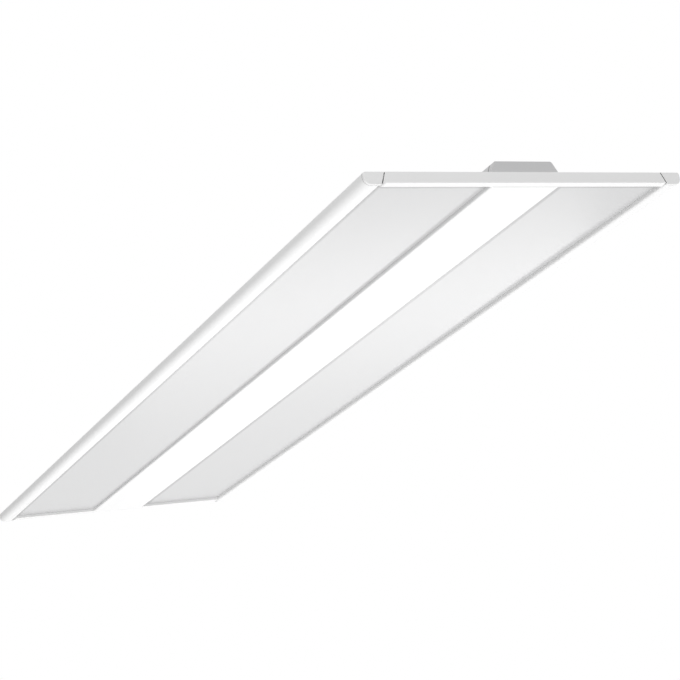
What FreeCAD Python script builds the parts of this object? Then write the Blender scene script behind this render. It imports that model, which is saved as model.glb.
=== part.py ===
import FreeCAD, Part
import math
import os
import re

import Sketcher

# Linear ceiling light: an extruded frame round two lens bays, with a folded driver channel on top.
# X runs along the light (front is +X), Y across it, Z up. The origin is the centre of the
# hanging holes, on the top sheet of the driver channel.

SIZES = {
    # frame
    "frame_length": 1162,
    "frame_width": 354,
    "frame_height": 12.5,
    "end_step": 1.5,
    "extrusion_wall": 1.2,
    "fit_gap": 0.2,
    "nose_radius": 7,
    "shoulder_radius": 2.5,
    "side_rail_width": 17,
    "spine_width": 76,
    "end_flange": 9.4,
    "recess_depth": 4,
    "shelf_width": 8,
    "ledge_width": 5,
    "spine_shelf": 7.5,
    "spine_flange_setback": 1,
    "end_top_flange": 8,
    "end_shelf": 4.4,
    # corner caps
    "cap_plate": 3,
    "cap_lean": 5.2,
    "cap_seam": 0.8,
    "spigot_length": 22,
    "spigot_relief": 1.2,
    "tongue_length": 28,
    "tongue_depth": 4.4,
    # sheets of a lens bay
    "stack_inset": 6.2,
    "lens_sheet": 1.5,
    "guide_sheet": 3,
    "reflector_sheet": 0.3,
    "panel_sheet": 0.8,
    # light boards
    "board_sheet": 0.8,
    "board_height": 3.2,
    "board_inset": 21,
    "chip_height": 1.7,
    "chip_length": 3,
    "chip_rise": 0.9,
    "chip_air": 0.4,
    "chip_count": 26,
    "plug_length": 10,
    "plug_depth": 3,
    "plug_height": 2.4,
    "plug_run": 30,
    # driver channel and its end caps
    "channel_rise": 13,
    "channel_top_width": 64.6,
    "channel_base_width": 76.8,
    "channel_sheet": 1,
    "channel_bend": 3,
    "brim_reach": 8.6,
    "cap_setback": 4.8,
    "cap_sheet": 0.8,
    "cap_wrap": 7,
    "cap_joint": 0.5,
    "cap_tongue": 10,
    "cap_tongue_edge": 6,
    "cap_screw_setback": 4.4,
    "cap_screw_edge": 12.3,
    # hanging holes
    "hanger_gap": 38,
    "hanger_edge": 10.3,
    "hanger_hole_radius": 2.75,
    "hanger_plate_length": 40,
    "channel_margin": 4.3,
    "hanger_plate_sheet": 2,
    "rivet_spacing": 20,
    "rivet_radius": 1.6,
    "rivet_head_radius": 2.8,
    "rivet_head_height": 1,
    # supply entry
    "bushing_gap": 6.5,
    "bushing_bore": 8,
    "bushing_wall": 2.9,
    "bushing_lip": 2.6,
    "bushing_rim": 1.6,
    "bushing_tail": 6.2,
    "bushing_snap": 0.8,
    # drivers
    "driver_length": 250,
    "driver_width": 42,
    "driver_height": 18,
    "driver_corner": 2,
    "driver_ear": 12,
    "driver_ear_sheet": 1.2,
    "driver_ear_step": 3,
    "driver_screw_spacing": 24,
    # supply terminal and leads
    "terminal_length": 24,
    "terminal_width": 18,
    "terminal_height": 10,
    "terminal_port_radius": 1.5,
    "terminal_port_pitch": 5.5,
    "terminal_port_depth": 6,
    "lead_radius": 1,
    "lead_spread": 3,
    "lead_bow": 9,
    "plug_lead_end": 14,
    # wiring door
    "door_length": 156,
    "door_lap": 16,
    "door_side_lap": 6,
    "door_sheet": 1,
    "door_corner": 5,
    "knuckle_radius": 2.2,
    "knuckle_lift": 0.3,
    "knuckle_gap": 0.4,
    "pin_radius": 1,
    "pin_fit": 0.05,
    "pin_head_radius": 1.7,
    "pin_head_height": 0.8,
    "leaf_length": 18,
    "leaf_rivet_edge": 10,
    "thumbscrew_inset": 8,
    "thumbscrew_radius": 1.85,
    "thumbscrew_play": 0.45,
    "thumbscrew_head_radius": 6.5,
    "thumbscrew_head_height": 5,
    "thumbscrew_ring_radius": 2.9,
    "thumbscrew_ring_height": 0.6,
    "thumbscrew_flutes": 16,
    "flute_depth": 0.5,
    "nut_radius": 5,
    "nut_height": 3,
    "nut_play": 0.25,
    # sheet screws
    "screw_radius": 1.25,
    "screw_play": 0.05,
    "screw_head_radius": 2.2,
    "screw_head_height": 0.8,
    "panel_screw_length": 4.8,
    "panel_screw_inset": 12,
    "panel_screw_count": 5,
    "end_screw_inset": 3.7,
    "end_screw_count": 4,
    "channel_screw_inset": 81,
    "channel_screw_count": 5,
    "cut_overrun": 2,
}

# Places worked out from the sizes, by name.
PLACES = {
    "half_length": "frame_length / 2",
    "half_width": "frame_width / 2",
    "spine_half": "spine_width / 2",
    "bay_outer": "half_width - side_rail_width",
    "wall_outer": "spine_half - spine_shelf",
    "compartment_half": "wall_outer - extrusion_wall",
    "flange_half": "brim_half - spine_flange_setback",
    "ledge_inner": "bay_outer + shelf_width",
    "ledge_outer": "ledge_inner + ledge_width",
    "ledge_middle": "ledge_inner + ledge_width / 2",
    "frame_top": "-channel_rise",
    "rail_bottom": "frame_top - frame_height",
    "end_bottom": "rail_bottom + end_step",
    "floor_top": "end_bottom + extrusion_wall",
    "lens_face": "end_bottom + recess_depth",
    "guide_base": "lens_face + lens_sheet",
    "reflector_base": "guide_base + guide_sheet",
    "foam_base": "reflector_base + reflector_sheet",
    "panel_base": "frame_top - panel_sheet",
    "flange_base": "panel_base - extrusion_wall",
    "stack_end": "half_length - stack_inset",
    "guide_inner": "wall_outer + board_sheet + chip_rise + chip_air",
    "sheet_outer": "ledge_inner - fit_gap",
    "plate_inner": "half_length - cap_plate",
    "cap_top_inner": "bay_outer - cap_lean",
    "end_screw_run": "frame_length - 2 * end_screw_inset",
    "end_screw_half": "bay_outer - tongue_length / 2",
    "side_screw_run": "frame_length - 2 * panel_screw_inset",
    "channel_screw_run": "frame_length - 2 * channel_screw_inset",
    "board_length": "frame_length - 2 * board_inset",
    "cap_front": "half_length - cap_setback",
    "cap_start": "cap_front - cap_wrap",
    "channel_end": "cap_start - cap_joint",
    "cap_screw_place": "channel_end - cap_screw_setback",
    "cap_screw_spacing": "channel_top_width - 2 * cap_screw_edge",
    "channel_top_half": "channel_top_width / 2",
    "channel_slope": "(channel_base_width - channel_top_width) / 2 / channel_rise",
    "slant_factor": "sqrt(1 + channel_slope * channel_slope)",
    "brim_top": "frame_top + channel_sheet",
    "brim_half": "channel_base_width / 2 + brim_reach",
    "brim_screw_half": "(channel_base_width / 2 + brim_half) / 2",
    "channel_under": "-channel_sheet",
    "bushing_neck": "bushing_bore + bushing_wall",
    "bushing_flange": "bushing_neck + bushing_lip",
    "supply_place": "door_length / 2 + bushing_gap + bushing_flange",
    "driver_place": "supply_place + bushing_flange + bushing_gap + driver_ear",
    "driver_bottom": "channel_under - driver_height",
    "driver_ear_width": "driver_width - 2 * driver_ear_step",
    "driver_screw_run": "driver_length + driver_ear",
    "driver_screw_place": "driver_place - driver_ear / 2",
    "hanger_place": "driver_place + driver_length + driver_ear + hanger_gap + hanger_plate_length / 2",
    "hanger_spacing_y": "channel_top_width - 2 * hanger_edge",
    "hanger_plate_width": "channel_top_width - 2 * channel_margin",
    "lead_level": "driver_bottom + 2 * lead_radius",
    "plug_place": "driver_place - plug_run",
    "plug_level": "guide_base + guide_sheet / 2",
    "door_width": "channel_top_width - 2 * channel_margin",
    "door_opening_length": "door_length - 2 * door_lap",
    "door_opening_width": "door_width - 2 * door_side_lap",
    "hinge_place": "-door_length / 2",
    "hinge_lift": "knuckle_radius + knuckle_lift",
    "hinge_relief": "knuckle_radius + knuckle_gap",
    "knuckle_pitch": "door_width / 5",
    "knuckle_slack": "knuckle_gap / 2",
    "leaf_rivet_place": "hinge_place - leaf_length / 2 - hinge_relief / 2",
    "leaf_rivet_spacing": "door_width - 2 * leaf_rivet_edge",
    "thumbscrew_place": "door_length / 2 - thumbscrew_inset",
}

# Facets round small fasteners with their holes, round the leads and round the supply bushing,
# and the share of its run that a lead's arc takes.
FASTENER_SIDES = 6
LEAD_SIDES = 6
BUSHING_SIDES = 18
ARC_RUN_SHARE = 0.3

document = FreeCAD.newDocument("ceiling_light")
sheet = document.addObject("Spreadsheet::Sheet", "Sizes")
parts = []


def fill_sheet():
    """Write each driving size to the sheet, with its name beside it."""
    for row, (name, size) in enumerate(SIZES.items(), start=1):
        sheet.set(f"A{row}", name)
        sheet.set(f"B{row}", str(size))
        sheet.setAlias(f"B{row}", name)
    document.recompute()


def formula(text):
    """Spell out a sum of names as an expression on the sheet's cells."""
    def swap(match):
        word = match.group(0)
        if word in PLACES:
            return f"({formula(PLACES[word])})"
        return f"Sizes.{word}" if word in SIZES else word
    return re.sub(r"[A-Za-z_]\w*", swap, str(text))


def value(text):
    """The number that a sum of names comes to now."""
    return float(sheet.evalExpression(formula(text)))


def bind(thing, **sums):
    """Tie properties of a document object to sums of names."""
    for name, text in sums.items():
        thing.setExpression(name.replace("__", "."), formula(text))


def place(thing, along="0", across="0", up="0", turned=False):
    """Put a sub-part in the light's frame, turned half round the vertical if asked."""
    if turned:
        thing.Placement.Rotation = FreeCAD.Rotation(FreeCAD.Vector(0, 0, 1), 180)
    bind(thing, Placement__Base__x=along, Placement__Base__y=across, Placement__Base__z=up)


# Sketches and features

def new_body(label):
    """An empty body, listed as a sub-part."""
    body = document.addObject("PartDesign::Body", label)
    body.Label = label
    parts.append(body)
    return body


def origin_item(body, role):
    """One of the body's own origin planes or axes."""
    return next(item for item in body.Origin.OriginFeatures if item.Role == role)


def box_points(low_u, high_u, low_v, high_v):
    """The four corners of an upright box outline."""
    return [(low_u, low_v), (high_u, low_v), (high_u, high_v), (low_u, high_v)]


def polar(radius, share, across="0", up="0"):
    """The point at a radius, a share of a full turn from the sketch's first axis."""
    angle = f"{360 * share} deg"
    return (f"{across} + ({radius}) * cos({angle})", f"{up} + ({radius}) * sin({angle})")


def polygon(radius, sides, across="0", up="0"):
    """The corners of a regular polygon round a centre."""
    return [polar(radius, step / sides, across, up) for step in range(sides)]


def mirrored(points):
    """The same outline on the other side of the vertical axis."""
    flipped = []
    for point in points:
        side = (f"-({point[0]})", point[1])
        flipped.append(side + (f"-({point[2]})",) if len(point) == 3 else side)
    return flipped


def both_sides(point):
    """A point and its mirror image across the vertical axis."""
    return [point] + mirrored([point])


def fix_point(drawing, edge, end, across, up):
    """Tie one end of a drawn edge to its place from the sketch's origin."""
    for kind, text in (("DistanceX", across), ("DistanceY", up)):
        index = drawing.addConstraint(Sketcher.Constraint(kind, -1, 1, edge, end, value(text)))
        drawing.setExpression(f"Constraints[{index}]", formula(text))


def draw_circle(drawing, across, up, radius):
    """A circle tied to its centre and radius."""
    centre = FreeCAD.Vector(value(across), value(up), 0)
    edge = drawing.addGeometry(Part.Circle(centre, FreeCAD.Vector(0, 0, 1), value(radius)))
    fix_point(drawing, edge, 3, across, up)
    index = drawing.addConstraint(Sketcher.Constraint("Radius", edge, value(radius)))
    drawing.setExpression(f"Constraints[{index}]", formula(radius))


def arc_between(start, end, radius):
    """The short arc from start to end; a positive radius turns left."""
    chord = end - start
    rise = math.sqrt(radius * radius - chord.Length * chord.Length / 4)
    normal = FreeCAD.Vector(-chord.y, chord.x, 0).normalize()
    centre = (start + end) / 2 + normal * math.copysign(rise, radius)
    first, last = (start, end) if radius > 0 else (end, start)
    low = math.atan2(first.y - centre.y, first.x - centre.x)
    high = math.atan2(last.y - centre.y, last.x - centre.x)
    if high < low:
        high += 2 * math.pi
    circle = Part.Circle(centre, FreeCAD.Vector(0, 0, 1), abs(radius))
    return Part.ArcOfCircle(circle, low, high)


def draw_outline(drawing, points):
    """A closed outline through named points; a third entry makes the next edge an arc."""
    corners = [FreeCAD.Vector(value(point[0]), value(point[1]), 0) for point in points]
    edges = []
    for number, point in enumerate(points):
        start = corners[number]
        end = corners[(number + 1) % len(points)]
        if len(point) == 3:
            radius = value(point[2])
            edge = drawing.addGeometry(arc_between(start, end, radius))
            edges.append((edge, 1, 2) if radius > 0 else (edge, 2, 1))
            drawing.addConstraint(Sketcher.Constraint("Radius", edge, abs(radius)))
            index = drawing.ConstraintCount - 1
            drawing.setExpression(f"Constraints[{index}]", f"abs({formula(point[2])})")
        else:
            edge = drawing.addGeometry(Part.LineSegment(start, end))
            edges.append((edge, 1, 2))
    for number, point in enumerate(points):
        edge, start, end = edges[number]
        following = edges[(number + 1) % len(points)]
        drawing.addConstraint(
            Sketcher.Constraint("Coincident", edge, end, following[0], following[1]))
        fix_point(drawing, edge, start, point[0], point[1])


def sketch(body, name, plane, outlines=(), circles=(), level="0"):
    """A sketch on one of the body's origin planes, lifted by level."""
    drawing = body.newObject("Sketcher::SketchObject", name)
    drawing.AttachmentSupport = [(origin_item(body, plane), "")]
    drawing.MapMode = "FlatFace"
    drawing.setExpression("AttachmentOffset.Base.z", formula(level))
    for points in outlines:
        draw_outline(drawing, points)
    for circle in circles:
        draw_circle(drawing, *circle)
    return drawing


def pad(body, drawing, length, both_ways=False, backwards=False):
    """Extrude a sketch."""
    feature = body.newObject("PartDesign::Pad", f"{drawing.Name}_pad")
    feature.Profile = drawing
    feature.Midplane = both_ways
    feature.Reversed = backwards
    bind(feature, Length=length)
    body.Tip = feature
    document.recompute()
    return feature


def pocket(body, drawing, length, both_ways=False, backwards=False):
    """Cut a sketch out of the body, and make sure that it did cut."""
    before = body.Shape.Volume
    feature = body.newObject("PartDesign::Pocket", f"{drawing.Name}_cut")
    feature.Profile = drawing
    feature.Midplane = both_ways
    feature.Reversed = backwards
    bind(feature, Length=length)
    body.Tip = feature
    document.recompute()
    if not body.Shape.Volume < before:
        raise RuntimeError(f"{body.Label}: {drawing.Name} cuts nothing")
    return feature


def turn(body, drawing):
    """Turn a half outline round the sketch's upright axis."""
    feature = body.newObject("PartDesign::Revolution", f"{drawing.Name}_turned")
    feature.Profile = drawing
    feature.ReferenceAxis = (drawing, ["V_Axis"])
    feature.Angle = 360
    body.Tip = feature
    document.recompute()
    return feature


def repeat(body, feature, along, across=None):
    """Repeat a feature in a row, or in rows; each direction is (run, count)."""
    pattern = body.newObject("PartDesign::LinearPattern", f"{feature.Name}_rows")
    pattern.Originals = [feature]
    pattern.Direction = (origin_item(body, "X_Axis"), [""])
    bind(pattern, Length=along[0], Occurrences=along[1])
    if across:
        pattern.Direction2 = (origin_item(body, "Y_Axis"), [""])
        bind(pattern, Length2=across[0], Occurrences2=across[1])
    body.Tip = pattern
    document.recompute()
    return pattern


def round_edges(body, places, radius, plane="YZ"):
    """Round the straight edges that stand on the given points of a cross-section."""
    kept = [(value(across), value(up)) for across, up in places]
    base = body.Tip
    names = []
    for number, edge in enumerate(base.Shape.Edges, start=1):
        ends = [vertex.Point for vertex in edge.Vertexes]
        if len(ends) != 2 or edge.Curve.TypeId != "Part::GeomLine":
            continue
        flat = [(p.y, p.z) if plane == "YZ" else (p.x, p.y) for p in ends]
        if any(all(math.dist(p, spot) < value("fit_gap") / 4 for p in flat) for spot in kept):
            names.append(f"Edge{number}")
    feature = body.newObject("PartDesign::Fillet", f"{body.Name}_rounds")
    feature.Base = (base, names)
    bind(feature, Radius=radius)
    body.Tip = feature
    document.recompute()


def drill_rows(body, name, start, radius, top, depth, along, across, is_round=False):
    """Upright holes in rows, cut down from just above the top by depth."""
    outlines = [] if is_round else [polygon(radius, FASTENER_SIDES, *start)]
    circles = [(*start, radius)] if is_round else []
    drawing = sketch(body, name, "XY_Plane", outlines, circles, level=f"{top} + cut_overrun")
    hole = pocket(body, drawing, f"{depth} + cut_overrun")
    repeat(body, hole, along, across)


def block(label, x_range, y_range, z_range):
    """A flat rectangular piece between named places."""
    piece = document.addObject("Part::Box", label)
    piece.Label = label
    bind(
        piece,
        Length=f"{x_range[1]} - ({x_range[0]})",
        Width=f"{y_range[1]} - ({y_range[0]})",
        Height=f"{z_range[1]} - ({z_range[0]})",
    )
    place(piece, x_range[0], y_range[0], z_range[0])
    parts.append(piece)
    return piece


def paired_block(name, x_range, y_range, z_range):
    """The same flat piece in the left bay and in the right bay."""
    block(f"{name}_right", x_range, y_range, z_range)
    block(f"{name}_left", x_range, (f"-({y_range[1]})", f"-({y_range[0]})"), z_range)


def prism(body, name, radius, level, height, downwards=False):
    """A six-sided prism that stands on a level, or hangs from it."""
    drawing = sketch(body, name, "XY_Plane", [polygon(radius, FASTENER_SIDES)], level=level)
    return pad(body, drawing, height, backwards=downwards)


def fastener_rows(label, start, seat, size, along, across, tail=None):
    """Screws or rivets in rows, heads on the seat; tail is a rivet's closed end."""
    head_radius, head_height, radius, length = size
    body = new_body(label)
    prisms = [
        prism(body, f"{label}_shank", radius, "0", length, downwards=True),
        prism(body, f"{label}_head", head_radius, "0", head_height),
    ]
    if tail:
        prisms.append(
            prism(body, f"{label}_tail", tail[0], f"-({length})", tail[1], downwards=True))
    rows = body.newObject("PartDesign::LinearPattern", f"{label}_rows")
    rows.Originals = prisms
    rows.Direction = (origin_item(body, "X_Axis"), [""])
    rows.Direction2 = (origin_item(body, "Y_Axis"), [""])
    bind(rows, Length=along[0], Occurrences=along[1], Length2=across[0], Occurrences2=across[1])
    body.Tip = rows
    document.recompute()
    place(body, start[0], start[1], seat)


# Frame

def nose_outline(first, rest):
    """The rounded outer side that rails and caps share, between a first and the last points."""
    return [
        first,
        ("half_width - nose_radius", "rail_bottom", "nose_radius"),
        ("half_width", "rail_bottom + nose_radius"),
        ("half_width", "frame_top - shoulder_radius", "shoulder_radius"),
        ("half_width - shoulder_radius", "frame_top"),
    ] + rest


def side_rail(label, turned):
    """Hollow extruded rail: rounded nose, lens shelf and a rebate for the back panel."""
    body = new_body(label)
    outer = nose_outline(("bay_outer", "rail_bottom"), [
        ("ledge_outer", "frame_top"),
        ("ledge_outer", "panel_base"),
        ("ledge_inner", "panel_base"),
        ("ledge_inner", "lens_face"),
        ("bay_outer", "lens_face"),
    ])
    wall = "extrusion_wall"
    chamber = [
        (f"bay_outer + {wall}", f"rail_bottom + {wall}"),
        ("half_width - nose_radius", f"rail_bottom + {wall}", f"nose_radius - {wall}"),
        (f"half_width - {wall}", "rail_bottom + nose_radius"),
        (f"half_width - {wall}", "flange_base"),
        (f"ledge_inner + {wall}", "flange_base"),
        (f"ledge_inner + {wall}", f"lens_face - {wall}"),
        (f"bay_outer + {wall}", f"lens_face - {wall}"),
    ]
    drawing = sketch(body, f"{label}_section", "YZ_Plane", [outer, chamber])
    pad(body, drawing, "2 * plate_inner", both_ways=True)
    drill_rows(
        body, f"{label}_screw_hole", ("-side_screw_run / 2", "ledge_middle"),
        "screw_radius + screw_play", "panel_base", "extrusion_wall * 3 / 2",
        ("side_screw_run", "panel_screw_count"), None)
    place(body, turned=turned)


def end_rail(label, turned):
    """Extruded end rail: web, lens shelf on a turned-in lip, and a top flange."""
    body = new_body(label)
    wall = "extrusion_wall"
    lip = "half_length - end_flange"
    section = [
        (lip, "end_bottom"),
        ("half_length", "end_bottom"),
        ("half_length", "frame_top"),
        (f"half_length - {wall}", "frame_top"),
        (f"half_length - {wall}", "panel_base"),
        ("half_length - end_top_flange", "panel_base"),
        ("half_length - end_top_flange", "flange_base"),
        (f"half_length - {wall}", "flange_base"),
        (f"half_length - {wall}", "floor_top"),
        (f"{lip} + {wall}", "floor_top"),
        (f"{lip} + {wall}", f"lens_face - {wall}"),
        (f"{lip} + end_shelf", f"lens_face - {wall}"),
        (f"{lip} + end_shelf", "lens_face"),
        (lip, "lens_face"),
    ]
    drawing = sketch(body, f"{label}_section", "XZ_Plane", [section])
    pad(body, drawing, "2 * (bay_outer - fit_gap / 2)", both_ways=True)
    slant_rise = "(frame_height + cut_overrun) / frame_height"
    corner = [
        ("bay_outer - cap_seam", "rail_bottom"),
        ("bay_outer + cut_overrun", "rail_bottom"),
        ("bay_outer + cut_overrun", "frame_top + cut_overrun"),
        (f"bay_outer - cap_seam - cap_lean * {slant_rise}", "frame_top + cut_overrun"),
    ]
    drawing = sketch(
        body, f"{label}_corners", "YZ_Plane", [corner, mirrored(corner)],
        level="half_length + cut_overrun")
    pocket(body, drawing, "cut_overrun + cap_plate + fit_gap")
    first_hole = polygon(
        "screw_radius + screw_play", FASTENER_SIDES, "half_length - end_screw_inset",
        "-end_screw_half")
    drawing = sketch(
        body, f"{label}_screw_hole", "XY_Plane", [first_hole], level="panel_base + cut_overrun")
    hole = pocket(body, drawing, "cut_overrun + extrusion_wall * 3 / 2")
    row = body.newObject("PartDesign::LinearPattern", f"{label}_screw_row")
    row.Originals = [hole]
    row.Direction = (origin_item(body, "Y_Axis"), [""])
    bind(row, Length="2 * end_screw_half", Occurrences="end_screw_count")
    body.Tip = row
    place(body, turned=turned)


def corner_cap(label, right, turned):
    """Corner casting: D-shaped plate, spigot into the side rail, tongue behind the end rail."""
    body = new_body(label)
    side = (lambda points: points) if right else mirrored
    face = nose_outline(("bay_outer", "rail_bottom"), [("cap_top_inner", "frame_top")])
    drawing = sketch(body, f"{label}_face", "YZ_Plane", [side(face)], level="plate_inner")
    pad(body, drawing, "cap_plate")
    spigot = box_points(
        "ledge_inner + extrusion_wall + fit_gap", "half_width - extrusion_wall - spigot_relief",
        "lens_face - extrusion_wall + fit_gap", "flange_base - fit_gap")
    drawing = sketch(body, f"{label}_spigot", "YZ_Plane", [side(spigot)], level="plate_inner")
    pad(body, drawing, "spigot_length", backwards=True)
    tongue = box_points(
        "bay_outer - tongue_length", "bay_outer - fit_gap", "lens_face + fit_gap",
        "flange_base - fit_gap")
    drawing = sketch(
        body, f"{label}_tongue", "YZ_Plane", [side(tongue)],
        level="half_length - extrusion_wall - fit_gap")
    pad(body, drawing, "tongue_depth", backwards=True)
    sign = "" if right else "-"
    spots = [
        ("half_length - end_screw_inset", f"{sign}end_screw_half"),
        ("half_length - panel_screw_inset", f"{sign}ledge_middle"),
    ]
    holes = [polygon("screw_radius + screw_play", FASTENER_SIDES, *spot) for spot in spots]
    drawing = sketch(body, f"{label}_screw_holes", "XY_Plane", holes, level="frame_top")
    pocket(body, drawing, "frame_height")
    place(body, turned=turned)


def center_spine():
    """Extruded spine: flat underside, lens shelves, board walls and top flanges."""
    body = new_body("center_spine")
    wall = "extrusion_wall"
    half = [
        ("spine_half", "end_bottom"),
        ("spine_half", "lens_face"),
        ("wall_outer", "lens_face"),
        ("wall_outer", "flange_base"),
        ("flange_half", "flange_base"),
        ("flange_half", "panel_base"),
        ("compartment_half", "panel_base"),
        ("compartment_half", "floor_top"),
    ]
    cell = box_points(
        "wall_outer", f"spine_half - {wall}", "floor_top", f"lens_face - {wall}")
    outline = half + mirrored(half)[::-1]
    drawing = sketch(body, "spine_section", "YZ_Plane", [outline, cell, mirrored(cell)])
    pad(body, drawing, "frame_length - 2 * end_flange - fit_gap", both_ways=True)
    drill_rows(
        body, "spine_screw_hole", ("-channel_screw_run / 2", "-brim_screw_half"),
        "screw_radius + screw_play", "panel_base", "extrusion_wall + fit_gap",
        ("channel_screw_run", "channel_screw_count"), ("2 * brim_screw_half", "2"))
    slot = box_points(
        "plug_place - plug_length / 2 - fit_gap", "plug_place + plug_length / 2 + fit_gap",
        "plug_level - plug_height / 2 - fit_gap", "plug_level + plug_height / 2 + fit_gap")
    drawing = sketch(body, "spine_plug_slot", "XZ_Plane", [slot])
    pocket(body, drawing, "2 * wall_outer + fit_gap", both_ways=True)
    place(body)


# Lens bays

def back_panel(label, right):
    """Sheet cover over a bay, notched round the corner caps."""
    body = new_body(label)
    long_half = "half_length - extrusion_wall - fit_gap"
    short_half = "plate_inner - fit_gap"
    notch = "cap_top_inner - fit_gap"
    outer = "ledge_outer - fit_gap"
    outline = [
        (f"-({long_half})", "wall_outer"),
        (long_half, "wall_outer"),
        (long_half, notch),
        (short_half, notch),
        (short_half, outer),
        (f"-({short_half})", outer),
        (f"-({short_half})", notch),
        (f"-({long_half})", notch),
    ]
    sign = "" if right else "-"
    points = [(along, f"{sign}({across})") for along, across in outline]
    drawing = sketch(body, f"{label}_outline", "XY_Plane", [points], level="panel_base")
    pad(body, drawing, "panel_sheet")
    hole = "screw_radius + screw_play"
    depth = "panel_sheet + fit_gap"
    drill_rows(
        body, f"{label}_side_hole", ("-side_screw_run / 2", f"{sign}ledge_middle"), hole,
        "frame_top", depth, ("side_screw_run", "panel_screw_count"), None)
    drill_rows(
        body, f"{label}_brim_hole", ("-channel_screw_run / 2", f"{sign}brim_screw_half"), hole,
        "frame_top", depth, ("channel_screw_run", "channel_screw_count"), None)
    inner = f"{sign}(end_screw_half / (end_screw_count - 1))"
    for name, across in (("outer", f"{sign}end_screw_half"), ("inner", inner)):
        drill_rows(
            body, f"{label}_{name}_end_hole", ("-end_screw_run / 2", across), hole,
            "frame_top", depth, ("end_screw_run", "2"), None)
    place(body)


def light_board(label, right):
    """Circuit board on a spine wall, with a row of light-emitting packages."""
    body = new_body(label)
    side = "" if right else "-"
    base = "guide_base + fit_gap / 2"
    board = box_points(
        "-board_length / 2", "board_length / 2", f"{side}wall_outer",
        f"{side}(wall_outer + board_sheet)")
    drawing = sketch(body, f"{label}_board", "XY_Plane", [board], level=base)
    pad(body, drawing, "board_height")
    pitch = "board_length / chip_count"
    chip = box_points(
        f"({pitch} - board_length - chip_length) / 2", f"({pitch} - board_length + chip_length) / 2",
        f"{side}(wall_outer + board_sheet)", f"{side}(wall_outer + board_sheet + chip_rise)")
    drawing = sketch(
        body, f"{label}_chip", "XY_Plane", [chip],
        level=f"{base} + (board_height - chip_height) / 2")
    first = pad(body, drawing, "chip_height")
    repeat(body, first, (f"board_length - {pitch}", "chip_count"))
    place(body)


def lens_bays():
    """Lens, light guide, reflector, foam, cover and light board of both bays."""
    run = ("-stack_end", "stack_end")
    paired_block("diffuser", run, ("wall_outer + fit_gap", "sheet_outer"),
                 ("lens_face", "guide_base"))
    paired_block("light_guide", run, ("guide_inner", "sheet_outer"),
                 ("guide_base", "reflector_base"))
    paired_block("reflector_sheet", run, ("guide_inner", "sheet_outer"),
                 ("reflector_base", "foam_base"))
    foam_end = "half_length - end_top_flange - fit_gap"
    paired_block("foam_pad", (f"-({foam_end})", foam_end),
                 ("flange_half + fit_gap", "sheet_outer"), ("foam_base", "panel_base"))
    paired_block("led_connector", ("plug_place - plug_length / 2", "plug_place + plug_length / 2"),
                 ("wall_outer - plug_depth", "wall_outer"),
                 ("plug_level - plug_height / 2", "plug_level + plug_height / 2"))
    for label, right in (("left", False), ("right", True)):
        back_panel(f"back_panel_{label}", right)
        light_board(f"led_strip_{label}", right)


# Driver channel

def channel_side(level, offset):
    """Half width of the channel's side at a height, offset square to the slope."""
    return f"channel_top_half - ({level}) * channel_slope + ({offset}) * slant_factor"


def driver_channel():
    """Folded sheet channel with sloping sides and outward brims, and its cut-outs."""
    body = new_body("driver_channel")
    inner_base = channel_side("frame_top", "-channel_sheet")
    half = [
        (inner_base, "frame_top"),
        ("brim_half", "frame_top"),
        ("brim_half", "brim_top"),
        (channel_side("brim_top", "0"), "brim_top"),
        ("channel_top_half", "0"),
    ]
    inner_top = (channel_side("channel_under", "-channel_sheet"), "channel_under")
    outline = half + mirrored(half)[::-1] + mirrored([inner_top]) + [inner_top]
    drawing = sketch(body, "channel_section", "YZ_Plane", [outline])
    pad(body, drawing, "2 * channel_end", both_ways=True)
    round_edges(body, both_sides(half[-1]), "channel_bend")
    round_edges(body, both_sides(inner_top), "channel_bend - channel_sheet")
    depth = "channel_sheet + fit_gap"
    screw_hole = "screw_radius + screw_play"
    drill_rows(
        body, "hanger_hole", ("-hanger_place", "-hanger_spacing_y / 2"),
        "hanger_hole_radius", "0", depth, ("2 * hanger_place", "2"), ("hanger_spacing_y", "2"),
        is_round=True)
    drill_rows(
        body, "hanger_rivet_hole", ("-hanger_place", "-rivet_spacing / 2"),
        "rivet_radius + screw_play", "0", depth, ("2 * hanger_place", "2"), ("rivet_spacing", "2"))
    for name, first in (("front", "driver_screw_place"),
                        ("rear", "-driver_screw_place - driver_screw_run")):
        drill_rows(
            body, f"driver_hole_{name}", (first, "-driver_screw_spacing / 2"), screw_hole, "0",
            depth, ("driver_screw_run", "2"), ("driver_screw_spacing", "2"))
    drill_rows(
        body, "cap_screw_hole", ("-cap_screw_place", "-cap_screw_spacing / 2"), screw_hole, "0",
        depth, ("2 * cap_screw_place", "2"), ("cap_screw_spacing", "2"))
    drill_rows(
        body, "brim_screw_hole", ("-channel_screw_run / 2", "-brim_screw_half"), screw_hole,
        "brim_top", depth, ("channel_screw_run", "channel_screw_count"),
        ("2 * brim_screw_half", "2"))
    drill_rows(
        body, "leaf_rivet_hole", ("leaf_rivet_place", "-leaf_rivet_spacing / 2"),
        "rivet_radius + screw_play", "0", depth, ("0", "1"), ("leaf_rivet_spacing", "2"))
    opening = box_points(
        "-door_opening_length / 2", "door_opening_length / 2", "-door_opening_width / 2",
        "door_opening_width / 2")
    ring_hole = polygon(
        "thumbscrew_ring_radius + thumbscrew_play + fit_gap", 2 * FASTENER_SIDES,
        "thumbscrew_place")
    bushing_hole = polygon("bushing_neck + fit_gap", BUSHING_SIDES, "supply_place")
    drawing = sketch(
        body, "door_cut_outs", "XY_Plane", [opening, ring_hole, bushing_hole],
        level="cut_overrun")
    pocket(body, drawing, f"cut_overrun + {depth}")
    place(body)


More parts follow.
